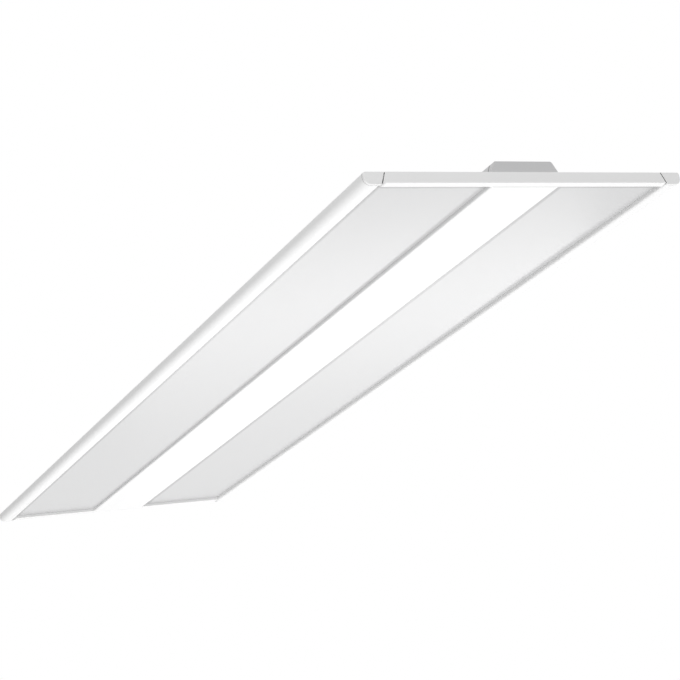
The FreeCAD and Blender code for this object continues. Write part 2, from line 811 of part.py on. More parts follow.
def channel_cap(label, turned):
    """Box-shaped end cap flush with the channel, with a tongue screwed under its top."""
    body = new_body(label)
    outer = [(channel_side("frame_top", "0"), "frame_top"), ("channel_top_half", "0")]
    drawing = sketch(
        body, f"{label}_outline", "YZ_Plane", [outer + mirrored(outer)[::-1]],
        level="cap_start")
    pad(body, drawing, "cap_wrap")
    round_edges(body, both_sides(outer[1]), "channel_bend")
    foot = "frame_top - cut_overrun"
    inner = [
        (channel_side(foot, "-cap_sheet"), foot),
        (channel_side("-cap_sheet", "-cap_sheet"), "-cap_sheet"),
    ]
    drawing = sketch(
        body, f"{label}_hollow", "YZ_Plane", [inner + mirrored(inner)[::-1]],
        level="cap_front - cap_sheet")
    pocket(body, drawing, "cap_wrap - cap_sheet + cut_overrun")
    round_edges(body, both_sides(inner[1]), "channel_bend - cap_sheet")
    tongue_end = "cap_start - cap_tongue"
    tongue = [
        (tongue_end, "channel_under - cap_sheet"),
        ("cap_front - cap_sheet", "channel_under - cap_sheet"),
        ("cap_front - cap_sheet", "-cap_sheet"),
        ("cap_start", "-cap_sheet"),
        ("cap_start", "channel_under"),
        (tongue_end, "channel_under"),
    ]
    drawing = sketch(body, f"{label}_tongue", "XZ_Plane", [tongue])
    pad(body, drawing, "cap_screw_spacing + 2 * cap_tongue_edge", both_ways=True)
    drill_rows(
        body, f"{label}_screw_hole", ("cap_screw_place", "-cap_screw_spacing / 2"),
        "screw_radius + screw_play", "channel_under", "cap_sheet + fit_gap", ("0", "1"),
        ("cap_screw_spacing", "2"))
    place(body, turned=turned)


def hanger_plate(label, turned):
    """Doubler sheet under the channel's top at one pair of hanging holes."""
    body = new_body(label)
    outlines = [box_points(
        "hanger_place - hanger_plate_length / 2", "hanger_place + hanger_plate_length / 2",
        "-hanger_plate_width / 2", "hanger_plate_width / 2")]
    holes = []
    for sign in ("", "-"):
        holes.append(("hanger_place", f"{sign}hanger_spacing_y / 2", "hanger_hole_radius"))
        outlines.append(polygon(
            "rivet_radius + screw_play", FASTENER_SIDES, "hanger_place",
            f"{sign}rivet_spacing / 2"))
    drawing = sketch(
        body, f"{label}_outline", "XY_Plane", outlines, holes, level="channel_under")
    pad(body, drawing, "hanger_plate_sheet", backwards=True)
    place(body, turned=turned)


def supply_bushing():
    """Snap bushing that lines the supply hole: a rim, a neck and a lug ring under the sheet."""
    body = new_body("supply_bushing")
    rings = [
        ("rim", "bushing_flange", "bushing_rim", "bushing_rim"),
        ("neck", "bushing_neck", "0", "bushing_tail"),
        ("lug", "bushing_neck + bushing_snap", "channel_under - fit_gap", "bushing_rim"),
    ]
    for name, radius, top, height in rings:
        ring = polygon(radius, BUSHING_SIDES)
        drawing = sketch(body, f"bushing_{name}", "XY_Plane", [ring], level=top)
        pad(body, drawing, height, backwards=True)
    bore = [("0", "0", "bushing_bore")]
    drawing = sketch(
        body, "bushing_hole", "XY_Plane", circles=bore, level="bushing_rim + cut_overrun")
    pocket(body, drawing, "bushing_rim + bushing_tail + 2 * cut_overrun")
    place(body, along="supply_place")


# Drivers and wiring

def led_driver(label, turned):
    """Driver case with an ear at each end, held up against the channel's top."""
    body = new_body(label)
    half = "driver_width / 2"
    case = [
        (f"-{half}", "driver_bottom + driver_corner", "driver_corner"),
        (f"driver_corner - {half}", "driver_bottom"),
        (f"{half} - driver_corner", "driver_bottom", "driver_corner"),
        (half, "driver_bottom + driver_corner"),
        (half, "channel_under"),
        (f"-{half}", "channel_under"),
    ]
    drawing = sketch(body, f"{label}_case", "YZ_Plane", [case], level="driver_place")
    pad(body, drawing, "driver_length")
    ears = box_points(
        "driver_place - driver_ear", "driver_place + driver_length + driver_ear",
        "-driver_ear_width / 2", "driver_ear_width / 2")
    drawing = sketch(body, f"{label}_ears", "XY_Plane", [ears], level="channel_under")
    pad(body, drawing, "driver_ear_sheet", backwards=True)
    drill_rows(
        body, f"{label}_screw_hole", ("driver_screw_place", "-driver_screw_spacing / 2"),
        "screw_radius + screw_play", "channel_under", "driver_ear_sheet + fit_gap",
        ("driver_screw_run", "2"), ("driver_screw_spacing", "2"))
    place(body, turned=turned)


def supply_terminal():
    """Push-in terminal for the supply wires, with three ports at each end."""
    body = new_body("supply_terminal")
    outline = box_points(
        "-terminal_length / 2", "terminal_length / 2", "-terminal_width / 2",
        "terminal_width / 2")
    drawing = sketch(body, "terminal_outline", "XY_Plane", [outline], level="floor_top")
    pad(body, drawing, "terminal_height")
    ports = [
        polygon("terminal_port_radius", FASTENER_SIDES, f"{step} * terminal_port_pitch",
                "floor_top + terminal_height * 3 / 4")
        for step in (-1, 0, 1)]
    for name, level, backwards in (("front", "terminal_length / 2", False),
                                   ("rear", "-terminal_length / 2", True)):
        drawing = sketch(body, f"terminal_ports_{name}", "YZ_Plane", ports, level=level)
        pocket(body, drawing, "terminal_port_depth", backwards=backwards)
    place(body)


def lead_path(points):
    """A wire of straight runs joined by tangent arcs as large as the runs allow."""
    edges = []
    start = points[0]
    for before, corner, after in zip(points, points[1:], points[2:]):
        first = (before - corner).normalize()
        second = (after - corner).normalize()
        run = min((before - corner).Length, (after - corner).Length)
        cut = ARC_RUN_SHARE * run
        tangent = corner + first * cut
        leave = corner + second * cut
        inward = (first + second).normalize()
        half_angle = (math.pi - first.getAngle(second)) / 2
        radius = cut / math.tan(half_angle)
        centre = corner + inward * math.hypot(radius, cut)
        middle = centre - inward * radius
        edges.append(Part.LineSegment(start, tangent).toShape())
        edges.append(Part.Arc(tangent, middle, leave).toShape())
        start = leave
        print(f"lead arc radius {radius:.1f}")
    edges.append(Part.LineSegment(start, points[-1]).toShape())
    return Part.Wire(edges)


def lead_tube(points):
    """One lead: a six-sided tube along its route."""
    path = lead_path(points)
    heading = FreeCAD.Rotation(FreeCAD.Vector(0, 0, 1), points[1] - points[0])
    corners = []
    for step in range(LEAD_SIDES):
        angle = 2 * math.pi * step / LEAD_SIDES
        rim = FreeCAD.Vector(math.cos(angle), math.sin(angle), 0) * value("lead_radius")
        corners.append(points[0] + heading.multVec(rim))
    ring = Part.makePolygon(corners + corners[:1])
    tube = path.makePipeShell([ring], True, False)
    section = Part.Face(ring).Area
    print(f"lead tube volume over section times length {tube.Volume / section / path.Length:.4f}")
    return tube


def leads(label, routes):
    """Insulated leads as one sub-part; a route's points are sums of names."""
    piece = document.addObject("Part::Feature", label)
    piece.Label = label
    tubes = []
    for route in routes:
        tubes.append(lead_tube([FreeCAD.Vector(*(value(text) for text in point)) for point in route]))
    piece.Shape = tubes[0] if len(tubes) == 1 else Part.makeCompound(tubes)
    piece.Placement = FreeCAD.Placement()
    parts.append(piece)


def wiring():
    """Leads from the terminal to the drivers, and from the front driver to the light boards."""
    for end, sign in (("front", ""), ("rear", "-")):
        routes = []
        for side in ("", "-"):
            stations = [
                ("terminal_length / 2", "lead_spread"),
                ("driver_place / 3", "lead_spread"),
                ("driver_place * 2 / 3", "lead_bow"),
                ("driver_place", "lead_bow"),
            ]
            routes.append([(f"{sign}({along})", f"{side}{across}", "lead_level")
                           for along, across in stations])
        leads(f"supply_leads_{end}", routes)
    for end, side in (("right", ""), ("left", "-")):
        route = [
            ("plug_place", f"{side}(wall_outer - plug_depth)", "plug_level"),
            ("plug_place", f"{side}plug_lead_end", "plug_level"),
            ("driver_place", f"{side}plug_lead_end", "plug_level"),
        ]
        leads(f"led_lead_{end}", [route])


# Wiring door

def hinge_slots(body, name, low, high, spans):
    """Cut the gaps where the other half's knuckles stand."""
    outlines = [box_points(low, high, first, last) for first, last in spans]
    drawing = sketch(body, name, "XY_Plane", outlines, level="2 * hinge_lift + cut_overrun")
    pocket(body, drawing, "2 * hinge_lift + 2 * cut_overrun")


def hinge_barrel(body, name, bore):
    """The rolled barrel on the hinge line, with its bore."""
    rings = [("hinge_place", "hinge_lift", "knuckle_radius")]
    drawing = sketch(body, f"{name}_barrel", "XZ_Plane", circles=rings)
    pad(body, drawing, "door_width", both_ways=True)
    rings = [("hinge_place", "hinge_lift", bore)]
    drawing = sketch(body, f"{name}_bore", "XZ_Plane", circles=rings)
    pocket(body, drawing, "door_width + cut_overrun", both_ways=True)


def access_door():
    """Hinged sheet door over the wiring opening, with two knuckles."""
    body = new_body("access_door")
    outline = box_points(
        "hinge_place", "door_length / 2", "-door_width / 2", "door_width / 2")
    drawing = sketch(body, "door_sheet_outline", "XY_Plane", [outline])
    pad(body, drawing, "door_sheet")
    free_corners = [("door_length / 2", f"{sign}door_width / 2") for sign in ("", "-")]
    round_edges(body, free_corners, "door_corner", plane="XY")
    hinge_barrel(body, "door", "pin_radius + pin_fit")
    inner = "knuckle_pitch / 2 + knuckle_slack"
    outer = "knuckle_pitch * 3 / 2 - knuckle_slack"
    edge = "door_width / 2 + cut_overrun"
    spans = [(f"-({inner})", inner), (outer, edge), (f"-({edge})", f"-({outer})")]
    hinge_slots(
        body, "door_slots", "hinge_place - hinge_relief", "hinge_place + hinge_relief", spans)
    hole = polygon(
        "thumbscrew_radius + thumbscrew_play", 2 * FASTENER_SIDES, "thumbscrew_place")
    drawing = sketch(
        body, "door_screw_hole", "XY_Plane", [hole], level="door_sheet + cut_overrun")
    pocket(body, drawing, "door_sheet + 2 * cut_overrun")
    place(body)


def hinge_leaf():
    """Fixed hinge leaf riveted to the channel, with three knuckles."""
    body = new_body("hinge_leaf")
    start = "hinge_place - leaf_length"
    outlines = [box_points(start, "hinge_place", "-door_width / 2", "door_width / 2")]
    for sign in ("", "-"):
        outlines.append(polygon(
            "rivet_radius + screw_play", FASTENER_SIDES, "leaf_rivet_place",
            f"{sign}leaf_rivet_spacing / 2"))
    drawing = sketch(body, "leaf_outline", "XY_Plane", outlines)
    pad(body, drawing, "door_sheet")
    hinge_barrel(body, "leaf", "pin_radius + pin_fit / 2")
    inner = "knuckle_pitch / 2 - knuckle_slack"
    outer = "knuckle_pitch * 3 / 2 + knuckle_slack"
    spans = [(inner, outer), (f"-({outer})", f"-({inner})")]
    hinge_slots(
        body, "leaf_slots", "hinge_place - hinge_relief", "hinge_place + hinge_relief", spans)
    place(body)


def hinge_pin():
    """Hinge pin with a flat head at each end."""
    body = new_body("hinge_pin")
    half = "(door_width / 2 + fit_gap)"
    outline = [
        ("0", f"-{half} - pin_head_height"),
        ("pin_head_radius", f"-{half} - pin_head_height"),
        ("pin_head_radius", f"-{half}"),
        ("pin_radius", f"-{half}"),
        ("pin_radius", half),
        ("pin_head_radius", half),
        ("pin_head_radius", f"{half} + pin_head_height"),
        ("0", f"{half} + pin_head_height"),
    ]
    turn(body, sketch(body, "pin_outline", "XY_Plane", [outline]))
    place(body, along="hinge_place", up="hinge_lift")


def door_thumbscrew():
    """Captive thumbscrew: fluted head on the door, retaining ring under it."""
    body = new_body("door_thumbscrew")
    prism(body, "thumbscrew_shank", "thumbscrew_radius", "0",
          "door_sheet + channel_sheet + nut_height", downwards=True)
    prism(body, "thumbscrew_ring", "thumbscrew_ring_radius", "-door_sheet - fit_gap / 2",
          "thumbscrew_ring_height", downwards=True)
    corners = 2 * round(value("thumbscrew_flutes"))
    grip = []
    for step in range(corners):
        cut = "flute_depth" if step % 2 else "0"
        grip.append(polar(f"thumbscrew_head_radius - {cut}", step / corners))
    pad(body, sketch(body, "thumbscrew_grip", "XY_Plane", [grip]), "thumbscrew_head_height")
    place(body, along="thumbscrew_place", up="door_sheet")


def door_nut():
    """Hexagonal clinch nut under the channel's top for the thumbscrew."""
    body = new_body("door_nut")
    bore = polygon("thumbscrew_radius + nut_play", 2 * FASTENER_SIDES)
    drawing = sketch(
        body, "nut_outline", "XY_Plane", [polygon("nut_radius", FASTENER_SIDES), bore])
    pad(body, drawing, "nut_height", backwards=True)
    place(body, along="thumbscrew_place", up="channel_under")


# Fasteners

def fasteners():
    """Groups of like screws and rivets."""
    head = ("screw_head_radius", "screw_head_height", "screw_radius")
    fastener_rows(
        "panel_screws_side", ("-side_screw_run / 2", "-ledge_middle"), "frame_top",
        head + ("panel_screw_length",), ("side_screw_run", "panel_screw_count"),
        ("2 * ledge_middle", "2"))
    fastener_rows(
        "panel_screws_end", ("-end_screw_run / 2", "-end_screw_half"), "frame_top",
        head + ("panel_sheet + extrusion_wall + 2 * fit_gap",), ("end_screw_run", "2"),
        ("2 * end_screw_half", "end_screw_count"))
    fastener_rows(
        "channel_screws", ("-channel_screw_run / 2", "-brim_screw_half"), "brim_top",
        head + ("channel_sheet + panel_sheet + extrusion_wall",),
        ("channel_screw_run", "channel_screw_count"), ("2 * brim_screw_half", "2"))
    fastener_rows(
        "cap_screws", ("-cap_screw_place", "-cap_screw_spacing / 2"), "0",
        head + ("channel_sheet + cap_sheet + fit_gap",), ("2 * cap_screw_place", "2"),
        ("cap_screw_spacing", "2"))
    driver_screw = head + ("channel_sheet + driver_ear_sheet + fit_gap",)
    for end, first in (("front", "driver_screw_place"),
                       ("rear", "-driver_screw_place - driver_screw_run")):
        fastener_rows(
            f"driver_screws_{end}", (first, "-driver_screw_spacing / 2"), "0", driver_screw,
            ("driver_screw_run", "2"), ("driver_screw_spacing", "2"))
    rivet = ("rivet_head_radius", "rivet_head_height", "rivet_radius")
    tail = ("rivet_head_radius - fit_gap", "rivet_head_height")
    fastener_rows(
        "hanger_rivets", ("-hanger_place", "-rivet_spacing / 2"), "0",
        rivet + ("channel_sheet + hanger_plate_sheet",), ("2 * hanger_place", "2"),
        ("rivet_spacing", "2"), tail)
    fastener_rows(
        "hinge_rivets", ("leaf_rivet_place", "-leaf_rivet_spacing / 2"), "door_sheet",
        rivet + ("channel_sheet + door_sheet",), ("0", "1"), ("leaf_rivet_spacing", "2"), tail)


def write_parts():
    """Check every object, then write each sub-part to its own file."""
    document.recompute()
    for item in document.Objects:
        if "Invalid" in item.State or "Error" in item.State:
            raise RuntimeError(f"{item.Label} is {item.State}")
    os.makedirs("parts", exist_ok=True)
    for piece in parts:
        shape = piece.Shape
        if shape.isNull() or not shape.isValid():
            raise RuntimeError(f"{piece.Label} has no valid shape")
    for piece in parts:
        piece.Shape.exportStep(f"parts/{piece.Label}.step")
        box = piece.Shape.BoundBox
        spans = " ".join(f"{size:.1f}" for size in (box.XLength, box.YLength, box.ZLength))
        print(f"{piece.Label}: {len(piece.Shape.Solids)} solid(s), {spans}")


def main():
    """Build every sub-part of the light."""
    fill_sheet()
    for side, turned in (("right", False), ("left", True)):
        side_rail(f"side_rail_{side}", turned)
    for end, turned in (("front", False), ("rear", True)):
        end_rail(f"end_rail_{end}", turned)
        channel_cap(f"channel_cap_{end}", turned)
        hanger_plate(f"hanger_plate_{end}", turned)
        led_driver(f"led_driver_{end}", turned)
        for side in ("left", "right"):
            corner_cap(f"corner_cap_{end}_{side}", (side == "right") != turned, turned)
    center_spine()
    lens_bays()
    driver_channel()
    supply_bushing()
    supply_terminal()
    wiring()
    access_door()
    hinge_leaf()
    hinge_pin()
    door_thumbscrew()
    door_nut()
    fasteners()
    write_parts()


main()
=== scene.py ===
"""Finishes, hardware and studio for a linear ceiling light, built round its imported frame."""

import math  # noqa: E402
import random  # noqa: E402

import bmesh  # noqa: E402
import bpy  # noqa: E402
from mathutils import Euler, Matrix, Vector  # noqa: E402


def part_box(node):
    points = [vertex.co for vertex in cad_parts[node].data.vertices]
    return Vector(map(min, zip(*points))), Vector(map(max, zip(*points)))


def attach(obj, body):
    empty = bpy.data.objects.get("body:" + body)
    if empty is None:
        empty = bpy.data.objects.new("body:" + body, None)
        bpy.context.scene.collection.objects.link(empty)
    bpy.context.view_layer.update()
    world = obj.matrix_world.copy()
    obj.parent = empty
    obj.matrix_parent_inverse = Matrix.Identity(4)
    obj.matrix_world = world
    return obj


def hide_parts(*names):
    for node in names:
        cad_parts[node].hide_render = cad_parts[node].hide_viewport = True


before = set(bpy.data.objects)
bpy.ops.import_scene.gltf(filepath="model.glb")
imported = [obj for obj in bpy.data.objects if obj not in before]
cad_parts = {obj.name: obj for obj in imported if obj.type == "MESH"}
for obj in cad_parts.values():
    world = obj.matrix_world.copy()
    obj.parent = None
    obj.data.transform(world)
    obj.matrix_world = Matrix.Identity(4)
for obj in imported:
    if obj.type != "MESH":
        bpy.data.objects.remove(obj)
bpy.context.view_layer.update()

bl_info = {
    "name": "Linear Ceiling Light",
    "version": (1, 0, 0),
    "blender": (4, 5, 0),
    "location": "View3D > Sidebar > Ceiling Light",
    "description": "Finishes, hardware and studio for a linear ceiling light",
    "category": "Object",
}

MM = 0.001
FULL_TURN = 2 * math.pi
QUARTER_TURN = math.pi / 2
FIXTURE = "fixture"
DOOR = "door"
SIDES = ("left", "right")
ENDS = ("front", "rear")
ALONG, ACROSS = (1, 0, 0), (0, 1, 0)


# Places read on the frame

def spine_lip():
    """Distance from the middle to the spine's lip, read from its lowest points."""
    tolerance = 0.1 * MM
    points = [vert.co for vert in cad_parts["center_spine"].data.vertices]
    lowest = min(point.z for point in points)
    return max(point.y for point in points if point.z < lowest + tolerance)


SPINE_EDGE = spine_lip()
BAY_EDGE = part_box("side_rail_right")[0].y
END_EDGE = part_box("end_rail_front")[0].x


# Settings

class FinishSettings(bpy.types.PropertyGroup):
    """Colours and sheens of the light's surfaces, and the tones of the painted shade on its lens."""

    coat_colour: bpy.props.FloatVectorProperty(
        name="White coat", description="Powder coat of the frame", subtype="COLOR",
        default=(0.89, 0.89, 0.89), min=0, max=1)
    coat_roughness: bpy.props.FloatProperty(
        name="White coat roughness", description="Roughness of the frame's powder coat",
        default=0.5, min=0, max=1, subtype="FACTOR")
    lens_colour: bpy.props.FloatVectorProperty(
        name="Lens", description="Frosted lens, unlit", subtype="COLOR",
        default=(0.585, 0.585, 0.589), min=0, max=1)
    lens_roughness: bpy.props.FloatProperty(
        name="Lens roughness", description="Roughness of the frosted lens", default=0.19,
        min=0, max=1, subtype="FACTOR")
    # Painted shade: the lens's tone along its lips
    lens_margin_shade: bpy.props.FloatProperty(
        name="Lens margin shade", description="Tone of the lens along its lips, as a share of its colour",
        default=0.9, min=0, max=1, subtype="FACTOR")
    # Painted shade: the lens's tone beside the walls that face right or back
    lens_shade: bpy.props.FloatProperty(
        name="Lens shade", description="Tone of the lens beside the walls that face right or back",
        default=0.69, min=0, max=1, subtype="FACTOR")
    sheet_colour: bpy.props.FloatVectorProperty(
        name="White sheet", description="Coated sheet of the back panels", subtype="COLOR",
        default=(0.83, 0.83, 0.83), min=0, max=1)
    channel_colour: bpy.props.FloatVectorProperty(
        name="Channel", description="Grey coat of the driver channel", subtype="COLOR",
        default=(0.61, 0.61, 0.615), min=0, max=1)
    zinc_colour: bpy.props.FloatVectorProperty(
        name="Zinc", description="Zinc plate on screws, rivets and the hinge", subtype="COLOR",
        default=(0.47, 0.48, 0.49), min=0, max=1)
    edge_radius: bpy.props.FloatProperty(
        name="Edge softness", description="Radius of the coated edges", default=0.25 * MM,
        min=0, unit="LENGTH")
    spine_lip_radius: bpy.props.FloatProperty(
        name="Spine lip radius", description="Radius of the spine's lips", default=1.7 * MM,
        min=0, unit="LENGTH")
    rail_lip_radius: bpy.props.FloatProperty(
        name="Rail lip radius", description="Radius of the side rails' lips", default=3.0 * MM,
        min=0, unit="LENGTH")
    end_lip_radius: bpy.props.FloatProperty(
        name="End lip radius", description="Radius of the end rails' lips", default=0.6 * MM,
        min=0, unit="LENGTH")


class HardwareSettings(bpy.types.PropertyGroup):
    """Sizes of the small hardware's details."""

    recess_width: bpy.props.FloatProperty(
        name="Recess width", description="Width of a screw's cross recess", default=0.55 * MM, min=0,
        unit="LENGTH")
    recess_depth: bpy.props.FloatProperty(
        name="Recess depth", description="Depth of a screw's cross recess", default=0.5 * MM, min=0,
        unit="LENGTH")
    lead_radius: bpy.props.FloatProperty(
        name="Supply lead radius", description="Radius of a supply lead's insulation", default=1.0 * MM,
        min=0, unit="LENGTH")
    board_lead_radius: bpy.props.FloatProperty(
        name="Board lead radius", description="Radius of a light board lead's insulation",
        default=0.85 * MM, min=0, unit="LENGTH")
    thread_pitch: bpy.props.FloatProperty(
        name="Thread pitch", description="Pitch of a sheet screw's thread", default=0.9 * MM,
        min=0.1 * MM, unit="LENGTH")


class StageSettings(bpy.types.PropertyGroup):
    """Camera, floor and lamps."""

    camera_place: bpy.props.FloatVectorProperty(
        name="Camera place", description="Where the camera stands", subtype="TRANSLATION",
        default=(1.8222, -0.9455, -0.5883))
    camera_turn: bpy.props.FloatVectorProperty(
        name="Camera turn", description="The camera's rotation about X, Y and Z", subtype="EULER",
        default=tuple(math.radians(angle) for angle in (106.6909, 11.4340, 63.5996)))
    focal_length: bpy.props.FloatProperty(
        name="Focal length", description="Lens on a 36 mm sensor, in mm", default=93.82, min=1)
    floor_drop: bpy.props.FloatProperty(
        name="Floor drop", description="Height of the light above the floor", default=2.6,
        min=0, unit="LENGTH")
    floor_reach: bpy.props.FloatProperty(
        name="Floor reach", description="Radius at which the floor has faded out", default=6.5,
        min=0, unit="LENGTH")
    ambient: bpy.props.FloatProperty(
        name="Ambient", description="Strength of the surrounding light on the object",
        default=0.45, min=0)
    lamp_above: bpy.props.FloatProperty(
        name="Lamp above", description="Power of the lamp over the light, in W", default=24,
        min=0)
    lamp_side: bpy.props.FloatProperty(
        name="Lamp beside", description="Power of the lamp at the near left, in W", default=50,
        min=0)
    lamp_below: bpy.props.FloatProperty(
        name="Lamp below", description="Power of the lamp under the light, in W", default=32,
        min=0)
    lamp_far: bpy.props.FloatProperty(
        name="Lamp at the far end", description="Power of the lamp that gives the lenses their sheen",
        default=1.6, min=0)


def finish_settings():
    return bpy.context.scene.light_finish


def hardware_settings():
    return bpy.context.scene.light_hardware


def stage_settings():
    return bpy.context.scene.light_stage


# Shader nodes

def feed(tree, node, inputs):
    """Fill a node's inputs, by name or by number as in i0, with values or other nodes' outputs."""
    for name, source in inputs.items():
        key = int(name[1:]) if name[1:].isdigit() else name.replace("_", " ")
        if isinstance(source, bpy.types.NodeSocket):
            tree.links.new(source, node.inputs[key])
        else:
            node.inputs[key].default_value = source
    return node


def add_node(tree, kind, settings=None, **inputs):
    """A node with its settings and inputs."""
    node = tree.nodes.new(f"ShaderNode{kind}")
    for name, setting in (settings or {}).items():
        setattr(node, name, setting)
    return feed(tree, node, inputs)


def maths(tree, operation, first, second=0.0):
    """The result of one sum on two values."""
    return add_node(tree, "Math", {"operation": operation}, i0=first, i1=second).outputs[0]


def swing(tree, value, size):
    """A value from 0 to 1 turned into a change of some size, half of it either way."""
    return maths(tree, "MULTIPLY", maths(tree, "SUBTRACT", value, 0.5), size)


def object_place(tree):
    """Where a point lies on its object."""
    return add_node(tree, "TexCoord").outputs["Object"]


def part_of(tree, vector, letter):
    """The X, Y or Z of a vector."""
    return add_node(tree, "SeparateXYZ", Vector=vector).outputs[letter]


def reach_along(tree, vector, axis):
    """How far a vector reaches along an axis."""
    return add_node(tree, "VectorMath", {"operation": "DOT_PRODUCT"}, i0=vector, i1=axis).outputs["Value"]


def fade_in(tree, distance, start, full):
    """A mask that grows smoothly from 0 at one distance to 1 at another."""
    smooth = {"interpolation_type": "SMOOTHSTEP"}
    return add_node(tree, "MapRange", smooth, Value=distance, i1=start, i2=full).outputs[0]


def noise(tree, place, scale, detail=2.0, roughness=0.5):
    """Smooth noise from 0 to 1, with so many cells to the metre."""
    return add_node(
        tree, "TexNoise", Vector=place, Scale=scale, Detail=detail, Roughness=roughness).outputs["Fac"]


def cell_noise(tree, place, scale, output):
    """A pattern of cells, with so many to the metre."""
    return add_node(tree, "TexVoronoi", Vector=place, Scale=scale).outputs[output]


def mix_colour(tree, share, first, second):
    """A blend of two colours by a share."""
    return add_node(tree, "Mix", {"data_type": "RGBA"}, i0=share, i6=first, i7=second).outputs[2]


def toned(tree, colour, tone):
    """A colour made lighter or darker by a value."""
    grey = add_node(tree, "CombineColor", Red=tone, Green=tone, Blue=tone).outputs[0]
    multiply = {"data_type": "RGBA", "blend_type": "MULTIPLY"}
    return add_node(tree, "Mix", multiply, i0=1.0, i6=colour, i7=grey).outputs[2]


# Shared effects

COLOUR_IN = ("Color", "Colour", (1, 1, 1, 1))
COLOUR_OUT = ("Color", "Colour")
ROUGHNESS_OUT = ("Float", "Roughness")
HEIGHT_OUT = ("Float", "Height")


def new_group(name, inputs, outputs):
    """An empty shader node group with named sockets; an input is (kind, name, default)."""
    group = bpy.data.node_groups.new(name, "ShaderNodeTree")
    for kind, title, default in inputs:
        socket = group.interface.new_socket(title, in_out="INPUT", socket_type=f"NodeSocket{kind}")
        socket.default_value = default
    for kind, title in outputs:
        group.interface.new_socket(title, in_out="OUTPUT", socket_type=f"NodeSocket{kind}")
    return group, group.nodes.new("NodeGroupInput").outputs, group.nodes.new("NodeGroupOutput")


def coat_texture_group():
    """Orange peel and fine mottle of a sprayed coat."""
    cloud_share = 0.6
    group, start, end = new_group(
        "Coat texture",
        [COLOUR_IN, ("Float", "Roughness", 0.5), ("Float", "Peel per metre", 700.0),
         ("Float", "Mottle", 0.02), ("Float", "Sheen change", 0.08)],
        [COLOUR_OUT, ROUGHNESS_OUT, HEIGHT_OUT])
    place = object_place(group)
    peel = noise(group, place, start["Peel per metre"], detail=3.0)
    cloud = noise(group, place, scale=14.0, detail=4.0)
    grain = noise(group, place, scale=160.0, detail=3.0)
    both = maths(group, "ADD", maths(group, "MULTIPLY", cloud, cloud_share),
                 maths(group, "MULTIPLY", grain, 1 - cloud_share))
    tone = maths(group, "ADD", swing(group, both, start["Mottle"]), 1.0)
    sheen = swing(group, grain, start["Sheen change"])
    feed(group, end, {"Colour": toned(group, start["Colour"], tone),
                      "Roughness": maths(group, "ADD", start["Roughness"], sheen), "Height": peel})
    return group


def dust_group():
    """Fine dust that settles on faces that look up."""
    steepest, sharpness, roughening = 0.6, 3.0, 0.8
    group, start, end = new_group(
        "Settled dust",
        [COLOUR_IN, ("Color", "Dust", (0.5, 0.48, 0.45, 1)), ("Float", "Amount", 0.15),
         ("Float", "Roughness", 0.5)],
        [COLOUR_OUT, ROUGHNESS_OUT])
    place = object_place(group)
    upward = part_of(group, add_node(group, "NewGeometry").outputs["Normal"], "Z")
    facing = maths(group, "MAXIMUM", maths(group, "SUBTRACT", upward, steepest), 0.0)
    facing = maths(group, "MINIMUM", maths(group, "MULTIPLY", facing, sharpness), 1.0)
    patches = noise(group, place, scale=9.0, detail=6.0, roughness=0.65)
    grains = noise(group, place, scale=420.0)
    spread = maths(group, "MULTIPLY", maths(group, "ADD", patches, grains), 0.5)
    share = maths(group, "MULTIPLY", maths(group, "MULTIPLY", facing, spread), start["Amount"])
    rough = maths(group, "ADD", start["Roughness"], maths(group, "MULTIPLY", share, roughening))
    feed(group, end, {"Colour": mix_colour(group, share, start["Colour"], start["Dust"]),
                      "Roughness": maths(group, "MINIMUM", rough, 1.0)})
    return group


def plating_group():
    """Cloudy, lightly scratched look of plated metal."""
    scratches_per_metre = (60.0, 2400.0, 2400.0)
    group, start, end = new_group(
        "Plating",
        [("Color", "Colour", (0.7, 0.7, 0.7, 1)), ("Float", "Roughness", 0.35),
         ("Float", "Cells per metre", 900.0), ("Float", "Contrast", 0.12)],
        [COLOUR_OUT, ROUGHNESS_OUT, HEIGHT_OUT])
    place = object_place(group)
    cells = cell_noise(group, place, start["Cells per metre"], "Color")
    cell = add_node(group, "SeparateColor", Color=cells).outputs[0]
    cloud = noise(group, place, scale=60.0, detail=4.0)
    both = maths(group, "MULTIPLY", maths(group, "ADD", cell, cloud), 0.5)
    change = swing(group, both, start["Contrast"])
    stretched = add_node(group, "Mapping", Vector=place, Scale=scratches_per_metre).outputs[0]
    feed(group, end, {"Colour": toned(group, start["Colour"], maths(group, "ADD", change, 1.0)),
                      "Roughness": maths(group, "ADD", start["Roughness"], change),
                      "Height": noise(group, stretched, scale=1.0)})
    return group


def joint_tone_and_painted_wall_shade_group():
    """Darkens faces square to an axis, or only the inward ones: a dark tone marks the faces that close a
    joint, and a pale grey is painted shade on recess walls.
    """
    least_facing = 0.5
    group, start, end = new_group(
        "Joint shade",
        [COLOUR_IN, ("Color", "Shade", (0.05, 0.05, 0.05, 1)), ("Vector", "Axis", ALONG),
         ("Float", "Inward only", 0.0), ("Float", "Lowest", -1.0)],
        [COLOUR_OUT])
    place = object_place(group)
    facing = reach_along(group, add_node(group, "NewGeometry").outputs["True Normal"], start["Axis"])
    side = reach_along(group, place, start["Axis"])
    square = maths(group, "GREATER_THAN", maths(group, "ABSOLUTE", facing), least_facing)
    inward = maths(group, "LESS_THAN", maths(group, "MULTIPLY", facing, side), 0.0)
    allowed = maths(group, "MAXIMUM", inward, maths(group, "SUBTRACT", 1.0, start["Inward only"]))
    covered = maths(group, "GREATER_THAN", part_of(group, place, "Z"), start["Lowest"])
    mask = maths(group, "MULTIPLY", maths(group, "MULTIPLY", square, allowed), covered)
    feed(group, end, {"Colour": mix_colour(group, mask, start["Colour"], start["Shade"])})
    return group


